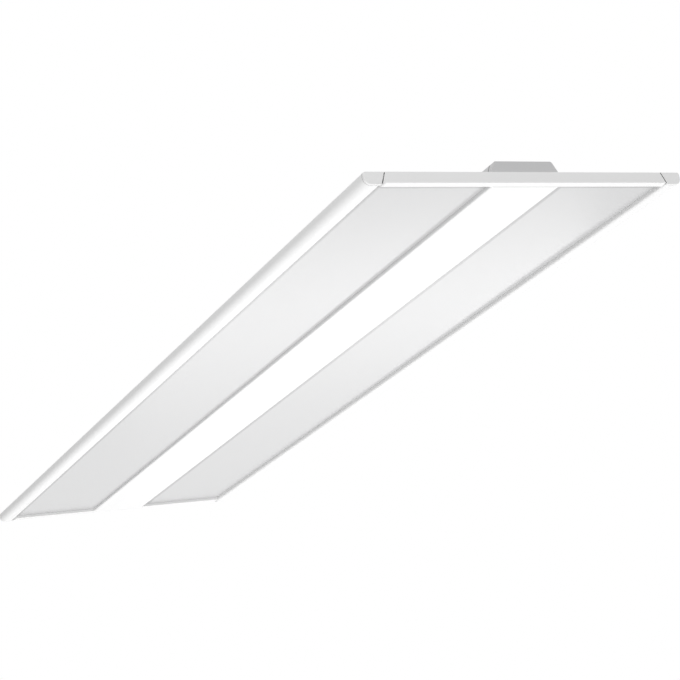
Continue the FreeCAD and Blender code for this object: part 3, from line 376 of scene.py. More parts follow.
def painted_lip_shade_group():
    """Painted shade in a line along a lip, on what looks down."""
    steepest = -0.6
    group, start, end = new_group(
        "Lip line",
        [COLOUR_IN, ("Color", "Shade", (0.34, 0.34, 0.34, 1)), ("Vector", "Axis", ACROSS),
         ("Float", "Edge", 0.0), ("Float", "Width", 2 * MM)],
        [COLOUR_OUT])
    side = reach_along(group, object_place(group), start["Axis"])
    away = maths(group, "ABSOLUTE", maths(group, "SUBTRACT", side, start["Edge"]))
    upward = part_of(group, add_node(group, "NewGeometry").outputs["Normal"], "Z")
    mask = maths(group, "MULTIPLY", fade_in(group, away, start["Width"], 0.0),
                 maths(group, "LESS_THAN", upward, steepest))
    feed(group, end, {"Colour": mix_colour(group, mask, start["Colour"], start["Shade"])})
    return group


def painted_seam_shade_group():
    """Painted shade in a seam: darkens what lies close to a plane on either side of the middle."""
    group, start, end = new_group(
        "Seam shade",
        [COLOUR_IN, ("Color", "Shade", (0.28, 0.28, 0.28, 1)), ("Vector", "Axis", ALONG),
         ("Float", "Place", 0.0), ("Float", "Width", 1.6 * MM)],
        [COLOUR_OUT])
    side = maths(group, "ABSOLUTE", reach_along(group, object_place(group), start["Axis"]))
    away = maths(group, "ABSOLUTE", maths(group, "SUBTRACT", side, start["Place"]))
    mask = fade_in(group, away, start["Width"], 0.0)
    feed(group, end, {"Colour": mix_colour(group, mask, start["Colour"], start["Shade"])})
    return group


GROUPS = {
    "coat": coat_texture_group,
    "dust": dust_group,
    "plating": plating_group,
    "joint": joint_tone_and_painted_wall_shade_group,
    "lip": painted_lip_shade_group,
    "seam": painted_seam_shade_group,
}
made_groups = {}


def shared_group(tree, key, **inputs):
    """One of the shared effects, placed in a material with its own values."""
    if key not in made_groups:
        made_groups[key] = GROUPS[key]()
    node = tree.nodes.new("ShaderNodeGroup")
    node.node_tree = made_groups[key]
    return feed(tree, node, inputs).outputs


# Finishes

ACRYLIC_IOR = 1.49
# A dark tone for the faces that close a joint, and a pale grey of painted shade for the recess walls
# beside the lenses
JOINT_TONE = 0.05
PAINTED_WALL_SHADE = 0.93
BOTH_WAYS, INWARD = 0.0, 1.0

# How far outside its lip the painted shade line lies and how wide it spreads; the corner widths are those
# of the painted shade on the end rails beside the side rails
RAIL_LINE_OFFSET, RAIL_LINE_WIDTH = 0.7 * MM, 1.7 * MM
SPINE_LINE_OFFSET, SPINE_LINE_WIDTH = 0.8 * MM, 2.2 * MM
LEFT_CORNER_WIDTH, RIGHT_CORNER_WIDTH = 6.5 * MM, 1.2 * MM

# Where the painted shade on a lens starts, away from its walls, and where it is full: along all its lips,
# and deeper beside the walls that face right or back
LENS_MARGIN_SHADE = (7 * MM, 0.5 * MM)
LENS_SHADE = (12.5 * MM, 8 * MM)

# How far outside a lip, or inside it below zero, the plane lies that the deeper painted shade follows
RAIL_SHADE_OFFSET = 1.5 * MM
END_SHADE_OFFSET = -0.7 * MM

# How far above the end rails' underside the shade in the corner castings starts
CASTING_SHADE_RISE = 0.2 * MM


def new_material(name):
    """A material with its node tree and its main shader."""
    material = bpy.data.materials.new(name)
    material.use_nodes = True
    tree = material.node_tree
    return material, tree, tree.nodes["Principled BSDF"]


def raise_surface(tree, shader, height, distance):
    """Bump the surface by a height."""
    bump = add_node(tree, "Bump", Distance=distance, Height=height)
    tree.links.new(bump.outputs["Normal"], shader.inputs["Normal"])


def dimmed(colour, share=1.0):
    """An opaque colour at a share of its brightness."""
    return (*(share * part for part in colour), 1.0)


def coated_material(name, colour, roughness, peel=700.0, depth=0.012 * MM, dust=0.05, mottle=0.02,
                    joints=(), lowest=-1.0, lips=(), seam=None):
    """A sprayed coat with orange peel, dust on what looks up, a dark tone in joints, and painted shade on
    recess walls, along lips and in a seam.

    A joint is (axis, inward, grey), where a dark grey marks a joint and a pale one paints shade on a
    recess wall; a lip is (edge, width) of a painted shade line, and a seam is the distance from the middle
    of its painted shade.
    """
    material, tree, shader = new_material(name)
    coat = shared_group(
        tree, "coat", Colour=dimmed(colour), Roughness=roughness, Peel_per_metre=peel, Mottle=mottle)
    layer = shared_group(
        tree, "dust", Colour=coat["Colour"], Roughness=coat["Roughness"], Amount=dust)
    tone = layer["Colour"]
    # A dark tone on joint faces; with the wall grey, painted shade on recess walls
    for axis, inward, grey in joints:
        tone = shared_group(
            tree, "joint", Colour=tone, Axis=axis, Inward_only=inward, Shade=(grey, grey, grey, 1),
            Lowest=lowest)["Colour"]
    # Painted shade lines along lips
    for edge, width in lips:
        tone = shared_group(
            tree, "lip", Colour=tone, Axis=ACROSS, Edge=edge, Width=width)["Colour"]
    # Painted shade in the seam
    if seam:
        tone = shared_group(tree, "seam", Colour=tone, Axis=ALONG, Place=seam)["Colour"]
    feed(tree, shader, {"Base Color": tone, "Roughness": layer["Roughness"]})
    raise_surface(tree, shader, coat["Height"], depth)
    return material


def white_coat(piece, **looks):
    """The frame's white coat on one kind of piece."""
    finish = finish_settings()
    return coated_material(f"White coat on {piece}", finish.coat_colour, finish.coat_roughness, **looks)


def end_rail_coat(end, *lips):
    """White coat of one end rail, with a dark tone on its joint faces, and painted shade on its underside
    beside the side rails and on its inner wall.
    """
    return white_coat(
        f"the {end} end rail", joints=((ACROSS, BOTH_WAYS, JOINT_TONE), (ALONG, INWARD, PAINTED_WALL_SHADE)),
        lips=lips)


def plated_material(name, colour, roughness, cells=900.0, contrast=0.12, metallic=1.0,
                    depth=0.004 * MM):
    """Plated or bare metal with cloudy cells."""
    material, tree, shader = new_material(name)
    plate = shared_group(
        tree, "plating", Colour=dimmed(colour), Roughness=roughness, Cells_per_metre=cells,
        Contrast=contrast)
    feed(tree, shader, {"Base Color": plate["Colour"], "Roughness": plate["Roughness"],
                        "Metallic": metallic})
    raise_surface(tree, shader, plate["Height"], depth)
    return material


def plastic_material(name, colour, roughness, grain=1500.0, depth=0.008 * MM, coat=0.0):
    """Moulded plastic or insulation with a fine grain."""
    material, tree, shader = new_material(name)
    texture = shared_group(
        tree, "coat", Colour=dimmed(colour), Roughness=roughness, Peel_per_metre=grain, Mottle=0.06)
    feed(tree, shader, {"Base Color": texture["Colour"], "Roughness": texture["Roughness"],
                        "Coat Weight": coat})
    raise_surface(tree, shader, texture["Height"], depth)
    return material


def lip_distance(tree, place):
    """Distance on a lens from the nearest of its bay's lips."""
    across = maths(tree, "ABSOLUTE", part_of(tree, place, "Y"))
    along = maths(tree, "ABSOLUTE", part_of(tree, place, "X"))
    inner = maths(tree, "SUBTRACT", across, SPINE_EDGE)
    outer = maths(tree, "SUBTRACT", BAY_EDGE, across)
    ending = maths(tree, "SUBTRACT", END_EDGE, along)
    return maths(tree, "MINIMUM", maths(tree, "MINIMUM", inner, outer), ending)


def shaded_wall_distance(tree, place):
    """Distance on a lens from the nearest wall that faces right or back."""
    across = part_of(tree, place, "Y")
    spine = maths(tree, "ABSOLUTE", maths(tree, "SUBTRACT", across, SPINE_EDGE))
    rail = maths(tree, "ABSOLUTE", maths(tree, "ADD", across, BAY_EDGE + RAIL_SHADE_OFFSET))
    ending = maths(tree, "SUBTRACT", END_EDGE + END_SHADE_OFFSET, part_of(tree, place, "X"))
    return maths(tree, "MINIMUM", maths(tree, "MINIMUM", spine, rail), ending)


def lens_material():
    """Frosted acrylic: pale, with a fine matte grain, painted shade along its lips and deeper painted
    shade beside its walls that face right or back.
    """
    cloud_tone, sheen_change, grain_depth = 0.985, 0.04, 0.01 * MM
    finish = finish_settings()
    colour = finish.lens_colour
    material, tree, shader = new_material("Frosted lens")
    place = object_place(tree)
    grain = noise(tree, place, scale=2600.0)
    cloud = noise(tree, place, scale=5.0, detail=3.0)
    # Painted shade along the lips, and deeper painted shade beside the walls that face right or back
    margin = fade_in(tree, lip_distance(tree, place), *LENS_MARGIN_SHADE)
    shade = fade_in(tree, shaded_wall_distance(tree, place), *LENS_SHADE)
    tone = mix_colour(tree, cloud, dimmed(colour, cloud_tone), dimmed(colour))
    tone = mix_colour(tree, margin, tone, dimmed(colour, finish.lens_margin_shade))
    tone = mix_colour(tree, shade, tone, dimmed(colour, finish.lens_shade))
    rough = maths(tree, "ADD", finish.lens_roughness, maths(tree, "MULTIPLY", grain, sheen_change))
    feed(tree, shader, {"Base Color": tone, "Roughness": rough, "IOR": ACRYLIC_IOR})
    raise_surface(tree, shader, grain, grain_depth)
    return material


def acrylic_guide_material():
    """Polished acrylic edge guide with its printed dot field."""
    dots_per_metre, dot_radius, polish, print_roughness = 900.0, 0.28, 0.08, 0.4
    material, tree, shader = new_material("Light guide")
    dots = cell_noise(tree, object_place(tree), dots_per_metre, "Distance")
    mask = maths(tree, "LESS_THAN", dots, dot_radius)
    feed(tree, shader, {
        "Base Color": mix_colour(tree, mask, (0.8, 0.83, 0.83, 1), (0.93, 0.94, 0.93, 1)),
        "Roughness": maths(tree, "ADD", maths(tree, "MULTIPLY", mask, print_roughness), polish),
        "IOR": ACRYLIC_IOR})
    return material


def foam_material():
    """Grey closed-cell foam."""
    cells_per_metre, cell_depth = 1400.0, 0.2 * MM
    material, tree, shader = new_material("Foam sheet")
    cells = cell_noise(tree, object_place(tree), cells_per_metre, "Distance")
    feed(tree, shader, {
        "Base Color": mix_colour(tree, cells, (0.32, 0.33, 0.34, 1), (0.5, 0.51, 0.52, 1)),
        "Roughness": 0.9})
    raise_surface(tree, shader, cells, cell_depth)
    return material


def light_board_material():
    """White board whose light packages, the part that stands proud, are yellow."""
    board_thickness = 0.85 * MM
    material, tree, shader = new_material("Light board")
    place = object_place(tree)
    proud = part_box("led_strip_right")[0].y + board_thickness
    mask = maths(tree, "GREATER_THAN", maths(tree, "ABSOLUTE", part_of(tree, place, "Y")), proud)
    mottle = noise(tree, place, scale=300.0)
    board = mix_colour(tree, mottle, (0.78, 0.79, 0.76, 1), (0.84, 0.85, 0.82, 1))
    feed(tree, shader, {
        "Base Color": mix_colour(tree, mask, board, (0.8, 0.62, 0.12, 1)), "Roughness": 0.35})
    return material


MATERIALS = {
    # Rails and spine: a dark tone in joints, painted shade on recess walls and a painted shade line along
    # a lip
    "rail_coat": lambda: white_coat(
        "side rails", joints=((ALONG, BOTH_WAYS, JOINT_TONE), (ACROSS, INWARD, PAINTED_WALL_SHADE)),
        lips=((-BAY_EDGE - RAIL_LINE_OFFSET, RAIL_LINE_WIDTH),)),
    "spine_coat": lambda: white_coat(
        "the spine", joints=((ALONG, BOTH_WAYS, JOINT_TONE), (ACROSS, BOTH_WAYS, PAINTED_WALL_SHADE)),
        lips=((SPINE_EDGE + SPINE_LINE_OFFSET, SPINE_LINE_WIDTH),)),
    # End rails: painted shade on the underside beside the side rails
    "end_coat_front": lambda: end_rail_coat(
        "front", (-BAY_EDGE, LEFT_CORNER_WIDTH), (BAY_EDGE, RIGHT_CORNER_WIDTH)),
    "end_coat_rear": lambda: end_rail_coat("rear", (-BAY_EDGE, LEFT_CORNER_WIDTH)),
    "casting_coat": lambda: white_coat(
        "castings", peel=520.0, depth=0.02 * MM,
        joints=((ALONG, INWARD, JOINT_TONE), (ACROSS, INWARD, JOINT_TONE)),
        lowest=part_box("end_rail_front")[0].z + CASTING_SHADE_RISE),
    "sheet_coat": lambda: coated_material(
        "White coated sheet", finish_settings().sheet_colour, roughness=0.45, peel=900.0, dust=0.22,
        mottle=0.03),
    # The channel gets painted shade along its seam with the caps
    "channel_coat": lambda: coated_material(
        "Grey coated sheet", finish_settings().channel_colour, roughness=0.48, peel=850.0, dust=0.18,
        mottle=0.04, joints=((ALONG, INWARD, JOINT_TONE),), seam=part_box("driver_channel")[1].x),
    "door_coat": lambda: coated_material(
        "Grey coated door", finish_settings().channel_colour, roughness=0.48, peel=850.0, dust=0.12,
        mottle=0.04),
    "lens": lens_material,
    "guide": acrylic_guide_material,
    "reflector": lambda: plastic_material("Reflector film", (0.9, 0.9, 0.9), roughness=0.6),
    "foam": foam_material,
    "board": light_board_material,
    "zinc": lambda: plated_material("Zinc plate", finish_settings().zinc_colour, roughness=0.32),
    "steel": lambda: plated_material(
        "Galvanised steel", (0.45, 0.46, 0.47), roughness=0.42, cells=160.0, contrast=0.3),
    "driver_case": lambda: plated_material(
        "Driver case", (0.72, 0.72, 0.73), roughness=0.45, cells=60.0, contrast=0.05, metallic=0.6),
    "white_plastic": lambda: plastic_material("White nylon", (0.8, 0.8, 0.77), roughness=0.4),
    "black_plastic": lambda: plastic_material(
        "Black nylon", (0.025, 0.025, 0.027), roughness=0.45, grain=900.0, depth=0.02 * MM),
    "terminal_plastic": lambda: plastic_material(
        "Terminal plastic", (0.62, 0.63, 0.64), roughness=0.3, coat=0.3),
    "black_lead": lambda: plastic_material("Black insulation", (0.03, 0.03, 0.032), roughness=0.38),
    "white_lead": lambda: plastic_material("White insulation", (0.78, 0.78, 0.76), roughness=0.4),
}
made_materials = {}


def material_for(key):
    """One of the light's finishes, made when first asked for."""
    if key not in made_materials:
        made_materials[key] = MATERIALS[key]()
    return made_materials[key]


def finish_nodes(key, names):
    """Give CAD pieces a finish."""
    for name in names:
        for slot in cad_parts[name].material_slots:
            slot.material = material_for(key)


# Meshes

WELD_DISTANCE = 0.001 * MM
FLAT_ANGLE = math.radians(1)
EDGE_ANGLE = math.radians(32)
SMOOTH_ANGLE = math.radians(35)
LIP_SEGMENTS = 5


def soften_edges(pieces, radius, segments=2):
    """Round the edges of pieces a little, as a coat does."""
    for piece in pieces:
        weld = piece.modifiers.new("Join faces", "WELD")
        weld.merge_threshold = WELD_DISTANCE
        plain = piece.modifiers.new("Whole faces", "DECIMATE")
        plain.decimate_type = "DISSOLVE"
        plain.angle_limit = FLAT_ANGLE
        bevel = piece.modifiers.new("Soft edges", "BEVEL")
        bevel.width = radius
        bevel.segments = segments
        bevel.limit_method = "ANGLE"
        bevel.angle_limit = EDGE_ANGLE
        flat = piece.modifiers.new("Flat faces", "WEIGHTED_NORMAL")
        flat.keep_sharp = True


def to_mesh(shape, name):
    """Turn a working shape into a mesh."""
    mesh = bpy.data.meshes.new(name)
    shape.to_mesh(mesh)
    shape.free()
    return mesh


def ring_of(shape, height, reach, sides):
    """A ring of points at a height; the reach is a radius, or gives one for an angle."""
    ring = []
    for step in range(sides):
        angle = FULL_TURN * step / sides
        radius = reach(angle) if callable(reach) else reach
        ring.append(shape.verts.new((radius * math.cos(angle), radius * math.sin(angle), height)))
    return ring


def join_rings(shape, lower, upper):
    """Faces from one ring to the next."""
    for step, point in enumerate(lower):
        ahead = (step + 1) % len(lower)
        shape.faces.new((point, lower[ahead], upper[ahead], upper[step]))


def turned_mesh(levels, sides):
    """A closed mesh through rings, from levels of (height, reach)."""
    shape = bmesh.new()
    rings = [ring_of(shape, height, reach, sides) for height, reach in levels]
    for lower, upper in zip(rings, rings[1:]):
        join_rings(shape, lower, upper)
    shape.faces.new(list(reversed(rings[0])))
    shape.faces.new(rings[-1])
    return to_mesh(shape, "turned")


def hollow_mesh(levels, sides):
    """A mesh with an open middle: the levels go once round its section and close."""
    shape = bmesh.new()
    rings = [ring_of(shape, height, reach, sides) for height, reach in levels]
    for lower, upper in zip(rings, rings[1:] + rings[:1]):
        join_rings(shape, lower, upper)
    bmesh.ops.recalc_face_normals(shape, faces=shape.faces)
    return to_mesh(shape, "hollow")


def profile(points, height, radius, base=0.0):
    """Levels over a base, from points given as shares of a height and of a radius."""
    return [(base + rise * height, reach * radius) for rise, reach in points]


def dome(low, high, outer, inner, steps):
    """Levels that round off from a height and radius towards others, without either end."""
    levels = []
    for step in range(1, steps):
        angle = QUARTER_TURN * step / steps
        levels.append((low + (high - low) * math.sin(angle), inner + (outer - inner) * math.cos(angle)))
    return levels


def block_shape(low, high):
    """A block between two corners."""
    shape = bmesh.new()
    bmesh.ops.create_cube(shape, size=1)
    middle = (Vector(low) + Vector(high)) / 2
    size = Vector(high) - Vector(low)
    for vert in shape.verts:
        vert.co = vert.co * size + middle
    return shape


def block_mesh(middle, half):
    """A block by its middle and half its size."""
    return to_mesh(block_shape(middle - half, middle + half), "block")


def evaluated_mesh(data, cutter=None):
    """The mesh that an object's data comes to, less a cutter."""
    helper = bpy.data.objects.new("helper", data)
    bpy.context.scene.collection.objects.link(helper)
    if cutter:
        cut = helper.modifiers.new("Cut", "BOOLEAN")
        cut.object = cutter
        cut.operation = "DIFFERENCE"
        cut.solver = "EXACT"
    graph = bpy.context.evaluated_depsgraph_get()
    mesh = bpy.data.meshes.new_from_object(helper.evaluated_get(graph))
    bpy.data.objects.remove(helper)
    return mesh


def cut_away(mesh, cutter):
    """The mesh less a cutter's mesh."""
    tool = bpy.data.objects.new("cutter", cutter)
    bpy.context.scene.collection.objects.link(tool)
    left = evaluated_mesh(mesh, tool)
    bpy.data.objects.remove(tool)
    return left


def joined(meshes):
    """One mesh from several."""
    shape = bmesh.new()
    for mesh in meshes:
        shape.from_mesh(mesh)
        bpy.data.meshes.remove(mesh)
    return to_mesh(shape, "joined")


def repeated(mesh, places):
    """Copies of a mesh at places, as one mesh."""
    copies = [mesh.copy() for place in places]
    for copy, place in zip(copies, places):
        copy.transform(place)
    return joined(copies)


def smooth_by_angle(mesh):
    """Smooth the faces, but keep edges sharper than the smoothing angle."""
    shape = bmesh.new()
    shape.from_mesh(mesh)
    for face in shape.faces:
        face.smooth = True
    for edge in shape.edges:
        edge.smooth = len(edge.link_faces) == 2 and edge.calc_face_angle(0) < SMOOTH_ANGLE
    shape.to_mesh(mesh)
    shape.free()


def add_piece(name, mesh, material, body, stands_for):
    """Put a finished mesh in the scene on its body, for a CAD piece."""
    smooth_by_angle(mesh)
    mesh.name = name
    piece = bpy.data.objects.new(name, mesh)
    bpy.context.scene.collection.objects.link(piece)
    mesh.materials.clear()
    mesh.materials.append(material_for(material))
    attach(piece, body)
    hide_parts(stands_for)
    return piece


def rounded_copy(name, radius, chosen, cuts):
    """A CAD piece's mesh with some edges rounded wider; cuts split edges across the piece first."""
    shape = bmesh.new()
    shape.from_mesh(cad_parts[name].data)
    bmesh.ops.remove_doubles(shape, verts=shape.verts, dist=WELD_DISTANCE)
    bmesh.ops.dissolve_limit(shape, angle_limit=FLAT_ANGLE, verts=shape.verts, edges=shape.edges)
    for cut in cuts:
        bmesh.ops.bisect_plane(
            shape, geom=[*shape.verts, *shape.edges, *shape.faces], plane_co=(0, cut, 0),
            plane_no=ACROSS)
    edges = [edge for edge in shape.edges if chosen(*(vert.co for vert in edge.verts))]
    bmesh.ops.bevel(
        shape, geom=edges, offset=radius, segments=LIP_SEGMENTS, profile=0.5, affect="EDGES",
        clamp_overlap=False)
    return to_mesh(shape, name)


def lip_test(axis, place, level):
    """Picks the edges on a lip: at a distance from the middle along an axis, low, and not on the spine."""
    tolerance, beside_spine = 0.05 * MM, 0.9 * SPINE_EDGE

    def chosen(*ends):
        on_lip = all(
            abs(abs(end.dot(axis)) - place) < tolerance and abs(end.z - level) < tolerance
            for end in ends)
        return on_lip and abs(sum(end.y for end in ends)) / 2 > beside_spine
    return chosen


def fastener_spots(name):
    """Where the fasteners of a CAD piece stand, at their heads' seats, with the sizes of one.

    The sizes are the head's height, the length below its seat and the head's radius.
    """
    apart, rim = 6 * MM, 0.98
    groups = []
    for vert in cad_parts[name].data.vertices:
        own = next((group for group in groups if (group[0] - vert.co).to_2d().length < apart), None)
        if own is None:
            groups.append([vert.co.copy()])
        else:
            own.append(vert.co.copy())
    places, sizes = [], []
    for points in groups:
        lows = [min(point[axis] for point in points) for axis in range(3)]
        highs = [max(point[axis] for point in points) for axis in range(3)]
        middle = Vector(((lows[0] + highs[0]) / 2, (lows[1] + highs[1]) / 2))
        reach = max((point.to_2d() - middle).length for point in points)
        seat = min(point.z for point in points if (point.to_2d() - middle).length > rim * reach)
        places.append(Matrix.Translation((*middle, seat)))
        sizes.append((highs[2] - seat, seat - lows[2], reach))
    return places, sizes[0]


def stand_at(mesh, box, height):
    """Move a mesh from the origin to the middle of a box seen from above, at a height."""
    middle = (box[0] + box[1]) / 2
    mesh.transform(Matrix.Translation((middle.x, middle.y, height)))
    return mesh


def head_reach(box):
    """The radius of what fills a box from one X to the other."""
    return (box[1].x - box[0].x) / 2


# Hardware

# Turned profiles: points given as shares of a height and a radius that the mesh functions choose
SCREW_RIM = ((0.0, 0.97), (0.12, 1.0), (0.3, 1.0))
SCREW_CROWN, SCREW_TOP, SCREW_SHANK = 0.4, 0.34, 0.46
RIVET_RIM = ((0.0, 1.0), (0.14, 1.0))
RIVET_MOUTH, RIVET_NECK = 0.3, 0.56
RIVET_WALL = ((0.98, 1.08), (0.85, 1.0), (0.35, 0.92))
RIVET_TAIL = ((0.0, 0.45), (0.15, 0.82))
RIVET_SHOULDER = ((-0.1, 0.9), (0.0, 0.86), (0.0, RIVET_NECK))
THUMB_FOOT = ((0.0, 0.86), (0.08, 0.94))
THUMB_GRIP = (0.16, 0.78)
THUMB_TOP = ((0.9, 0.92), (0.97, 0.84), (1.0, 0.78), (1.0, 0.62), (0.94, 0.56), (0.94, 0.2))
THUMB_SHANK = 0.285
THUMB_SLOT = (Vector((-1.2, -0.09, 0.68)), Vector((1.2, 0.09, 1.5)))
KNURLS, KNURL_DEPTH = 40, 0.035
RING_PROFILE = ((0.0, 0.3), (0.0, 0.42), (0.25, 0.446), (0.75, 0.446), (1.0, 0.42), (1.0, 0.3))
NUT_PROFILE = ((-1.0, 0.9), (-0.88, 1.0), (-0.12, 1.0), (0.0, 0.9))
BUSHING_EDGE, BUSHING_MOUTH, BUSHING_CROWN = 0.35, 0.1, 0.3
BUSHING_TOE = ((0.2, 1.0), (0.0, 1.02))
BUSHING_HEEL = ((0.0, 0.94), (0.9, 1.0))
BUSHING_SLOPE = 0.02

# How far joined pieces and threads run past a face, as shares of a height
OVERLAP = 0.02
THREAD_OVERRUN = 0.1

# One turn of a thread: shares of the pitch, and whether the ridge is at its full radius there
THREAD = ((0.15, False), (0.45, True), (0.6, True), (0.9, False))
THREAD_ROOT, THREAD_TIP = 0.8, 0.5

# The cross recess: its reach as a share of the head's, and how it narrows along and across an arm
RECESS_REACH = 0.55
RECESS_TAPER = (0.55, 0.7)

# Sides of the round pieces
SCREW_SIDES, RIVET_SIDES, RING_SIDES, ROUND_SIDES = 40, 32, 40, 72
SCREW_THREAD_SIDES, THUMB_THREAD_SIDES, NUT_THREAD_SIDES = 20, 28, 36
SIDES_PER_KNURL = 6

# Steps in the rounded parts of the profiles
SCREW_STEPS, RIVET_STEPS, BUSHING_STEPS, MOUTH_STEPS = 8, 6, 6, 4

# Sizes of the door's M4 thumbscrew, its retaining ring and its nut
THUMB_SEAT_ABOVE_NUT = 2 * MM
THUMB_THREAD_PITCH = 0.7 * MM
NUT_BORE = 2.0 * MM
RING_LOW, RING_HEIGHT = -1.75 * MM, 0.6 * MM

# The snap bushing's radii, its lug's levels under the channel's sheet, and its snap fingers
BUSHING_BORE, BUSHING_NECK, BUSHING_LUG = 8 * MM, 10.9 * MM, 11.7 * MM
SHEET = 1.0 * MM
LUG_LOW, LUG_PLAY = -2.8 * MM, 0.2 * MM
FINGERS, FINGER_GAP = 4, 1 * MM

# The cutter of a finger gap: shares of the bore, the flange and the depth, and its rise over the lug
GAP_FROM, GAP_TO, GAP_DEPTH = 0.5, 1.5, 2
GAP_RISE = 0.3 * MM

# The terminal's ports, release slots and groove; SLOT_ROW is a share, and HALF is half a size
PORT_PITCH = 5.5 * MM
SLOT_ROW = 0.62
SLOT_HALF = Vector((1.6, 1.1, 0.9)) * MM
GROOVE_HALF = 0.5 * MM
GROOVE_OVERRUN = 1 * MM

# The leads' level, and their routes on the right side to the front driver; the others mirror them
LEAD_LEVEL = -17 * MM
SUPPLY_ROUTE = [(x * MM, y * MM) for x, y in ((12, 3), (43.33, 3), (86.67, 9), (130, 9))]
BOARD_ROUTE = [(x * MM, y * MM) for x, y in ((100, 27.5), (100, 14), (130, 14))]


def lead_piece(name, routes, radius, material, stands_for):
    """Round leads along routes, as one piece."""
    curve = bpy.data.curves.new(name, "CURVE")
    curve.dimensions = "3D"
    curve.bevel_depth = radius
    curve.bevel_resolution = 5
    curve.resolution_u = 24
    curve.use_fill_caps = True
    for route in routes:
        spline = curve.splines.new("NURBS")
        spline.points.add(len(route) - 1)
        for point, place in zip(spline.points, route):
            point.co = (*place, 1)
        spline.order_u = 3
        spline.use_endpoint_u = True
    return add_piece(name, evaluated_mesh(curve), material, FIXTURE, stands_for)


def threaded_rod(low, high, radius, pitch, sides):
    """A rod whose thread is a row of ridges."""
    root, least_turns = THREAD_ROOT * radius, 2
    turns = max(least_turns, round((high - low) / pitch))
    step = (high - low) / turns
    levels = [(low, THREAD_TIP * radius)]
    for turn in range(turns):
        levels += [(low + turn * step + share * step, radius if crest else root)
                   for share, crest in THREAD]
    levels.append((high, root))
    return turned_mesh(levels, sides)


def recess_arms(reach, top, depth, width):
    """The two cutters of a cross recess that narrows downwards."""
    arms = []
    for turn in range(2):
        arm = block_shape((-reach, -width / 2, top - depth), (reach, width / 2, top + depth))
        for vert in arm.verts:
            if vert.co.z < top:
                vert.co.x *= RECESS_TAPER[0]
                vert.co.y *= RECESS_TAPER[1]
        mesh = to_mesh(arm, "arm")
        mesh.transform(Matrix.Rotation(turn * QUARTER_TURN, 4, "Z"))
        arms.append(mesh)
    return arms


def cross_screw_mesh(height, length, reach):
    """A low-head sheet screw with a cross recess, its seat at zero."""
    sizes = hardware_settings()
    levels = profile(SCREW_RIM, height, reach)
    levels += dome(levels[-1][0], height, reach, SCREW_CROWN * reach, SCREW_STEPS)
    levels.append((height, SCREW_TOP * reach))
    head = turned_mesh(levels, SCREW_SIDES)
    for arm in recess_arms(RECESS_REACH * reach, height, sizes.recess_depth, sizes.recess_width):
        head = cut_away(head, arm)
    shank = threaded_rod(-length, THREAD_OVERRUN * height, SCREW_SHANK * reach, sizes.thread_pitch,
                         SCREW_THREAD_SIDES)
    return joined([head, shank])


def rivet_mesh(height, depth, reach):
    """A blind rivet: a domed head with its open middle, a shank and a crushed tail."""
    mouth = RIVET_MOUTH * reach
    levels = profile(RIVET_RIM, height, reach)
    levels += dome(levels[-1][0], height, reach, mouth, RIVET_STEPS)
    levels += profile(RIVET_WALL, height, mouth)
    tail = [*profile(RIVET_TAIL, height, reach, -depth),
            *profile(RIVET_SHOULDER, height, reach, height - depth),
            (OVERLAP * height, RIVET_NECK * reach)]
    return joined([turned_mesh(levels, RIVET_SIDES), turned_mesh(tail, RIVET_SIDES)])


def knurled(radius):
    """The reach of a knurled grip, by angle."""
    return lambda angle: radius * (1 - KNURL_DEPTH * abs(math.sin(KNURLS * angle / 2)))


def thumbscrew_mesh(height, length, reach):
    """A knurled captive thumbscrew, its seat at zero, with a slot, a ring and a threaded shank."""
    levels = profile(THUMB_FOOT, height, reach)
    levels += [(share * height, knurled(reach)) for share in THUMB_GRIP]
    levels += profile(THUMB_TOP, height, reach)
    size = Vector((reach, reach, height))
    slot = to_mesh(block_shape(*(corner * size for corner in THUMB_SLOT)), "slot")
    head = cut_away(turned_mesh(levels, SIDES_PER_KNURL * KNURLS), slot)
    shank = threaded_rod(
        -length, OVERLAP * height, THUMB_SHANK * reach, THUMB_THREAD_PITCH, THUMB_THREAD_SIDES)
    ring = hollow_mesh(profile(RING_PROFILE, RING_HEIGHT, reach, RING_LOW), RING_SIDES)
    return joined([head, shank, ring])


def hexagon(corner, limit):
    """The reach of a hexagon by angle, with its corners cut off at a limit."""
    sixth = FULL_TURN / 6
    flat = corner * math.cos(sixth / 2)
    return lambda angle: min(flat / math.cos((angle + sixth / 2) % sixth - sixth / 2), limit)


def nut_mesh(height, reach):
    """A hexagon nut with chamfered corners and a threaded hole, its top at zero."""
    levels = [(rise, hexagon(reach, limit)) for rise, limit in profile(NUT_PROFILE, height, reach)]
    thread = threaded_rod(-(1 + THREAD_OVERRUN) * height, THREAD_OVERRUN * height, NUT_BORE,
                          THUMB_THREAD_PITCH, NUT_THREAD_SIDES)
    return cut_away(turned_mesh(levels, ROUND_SIDES), thread)


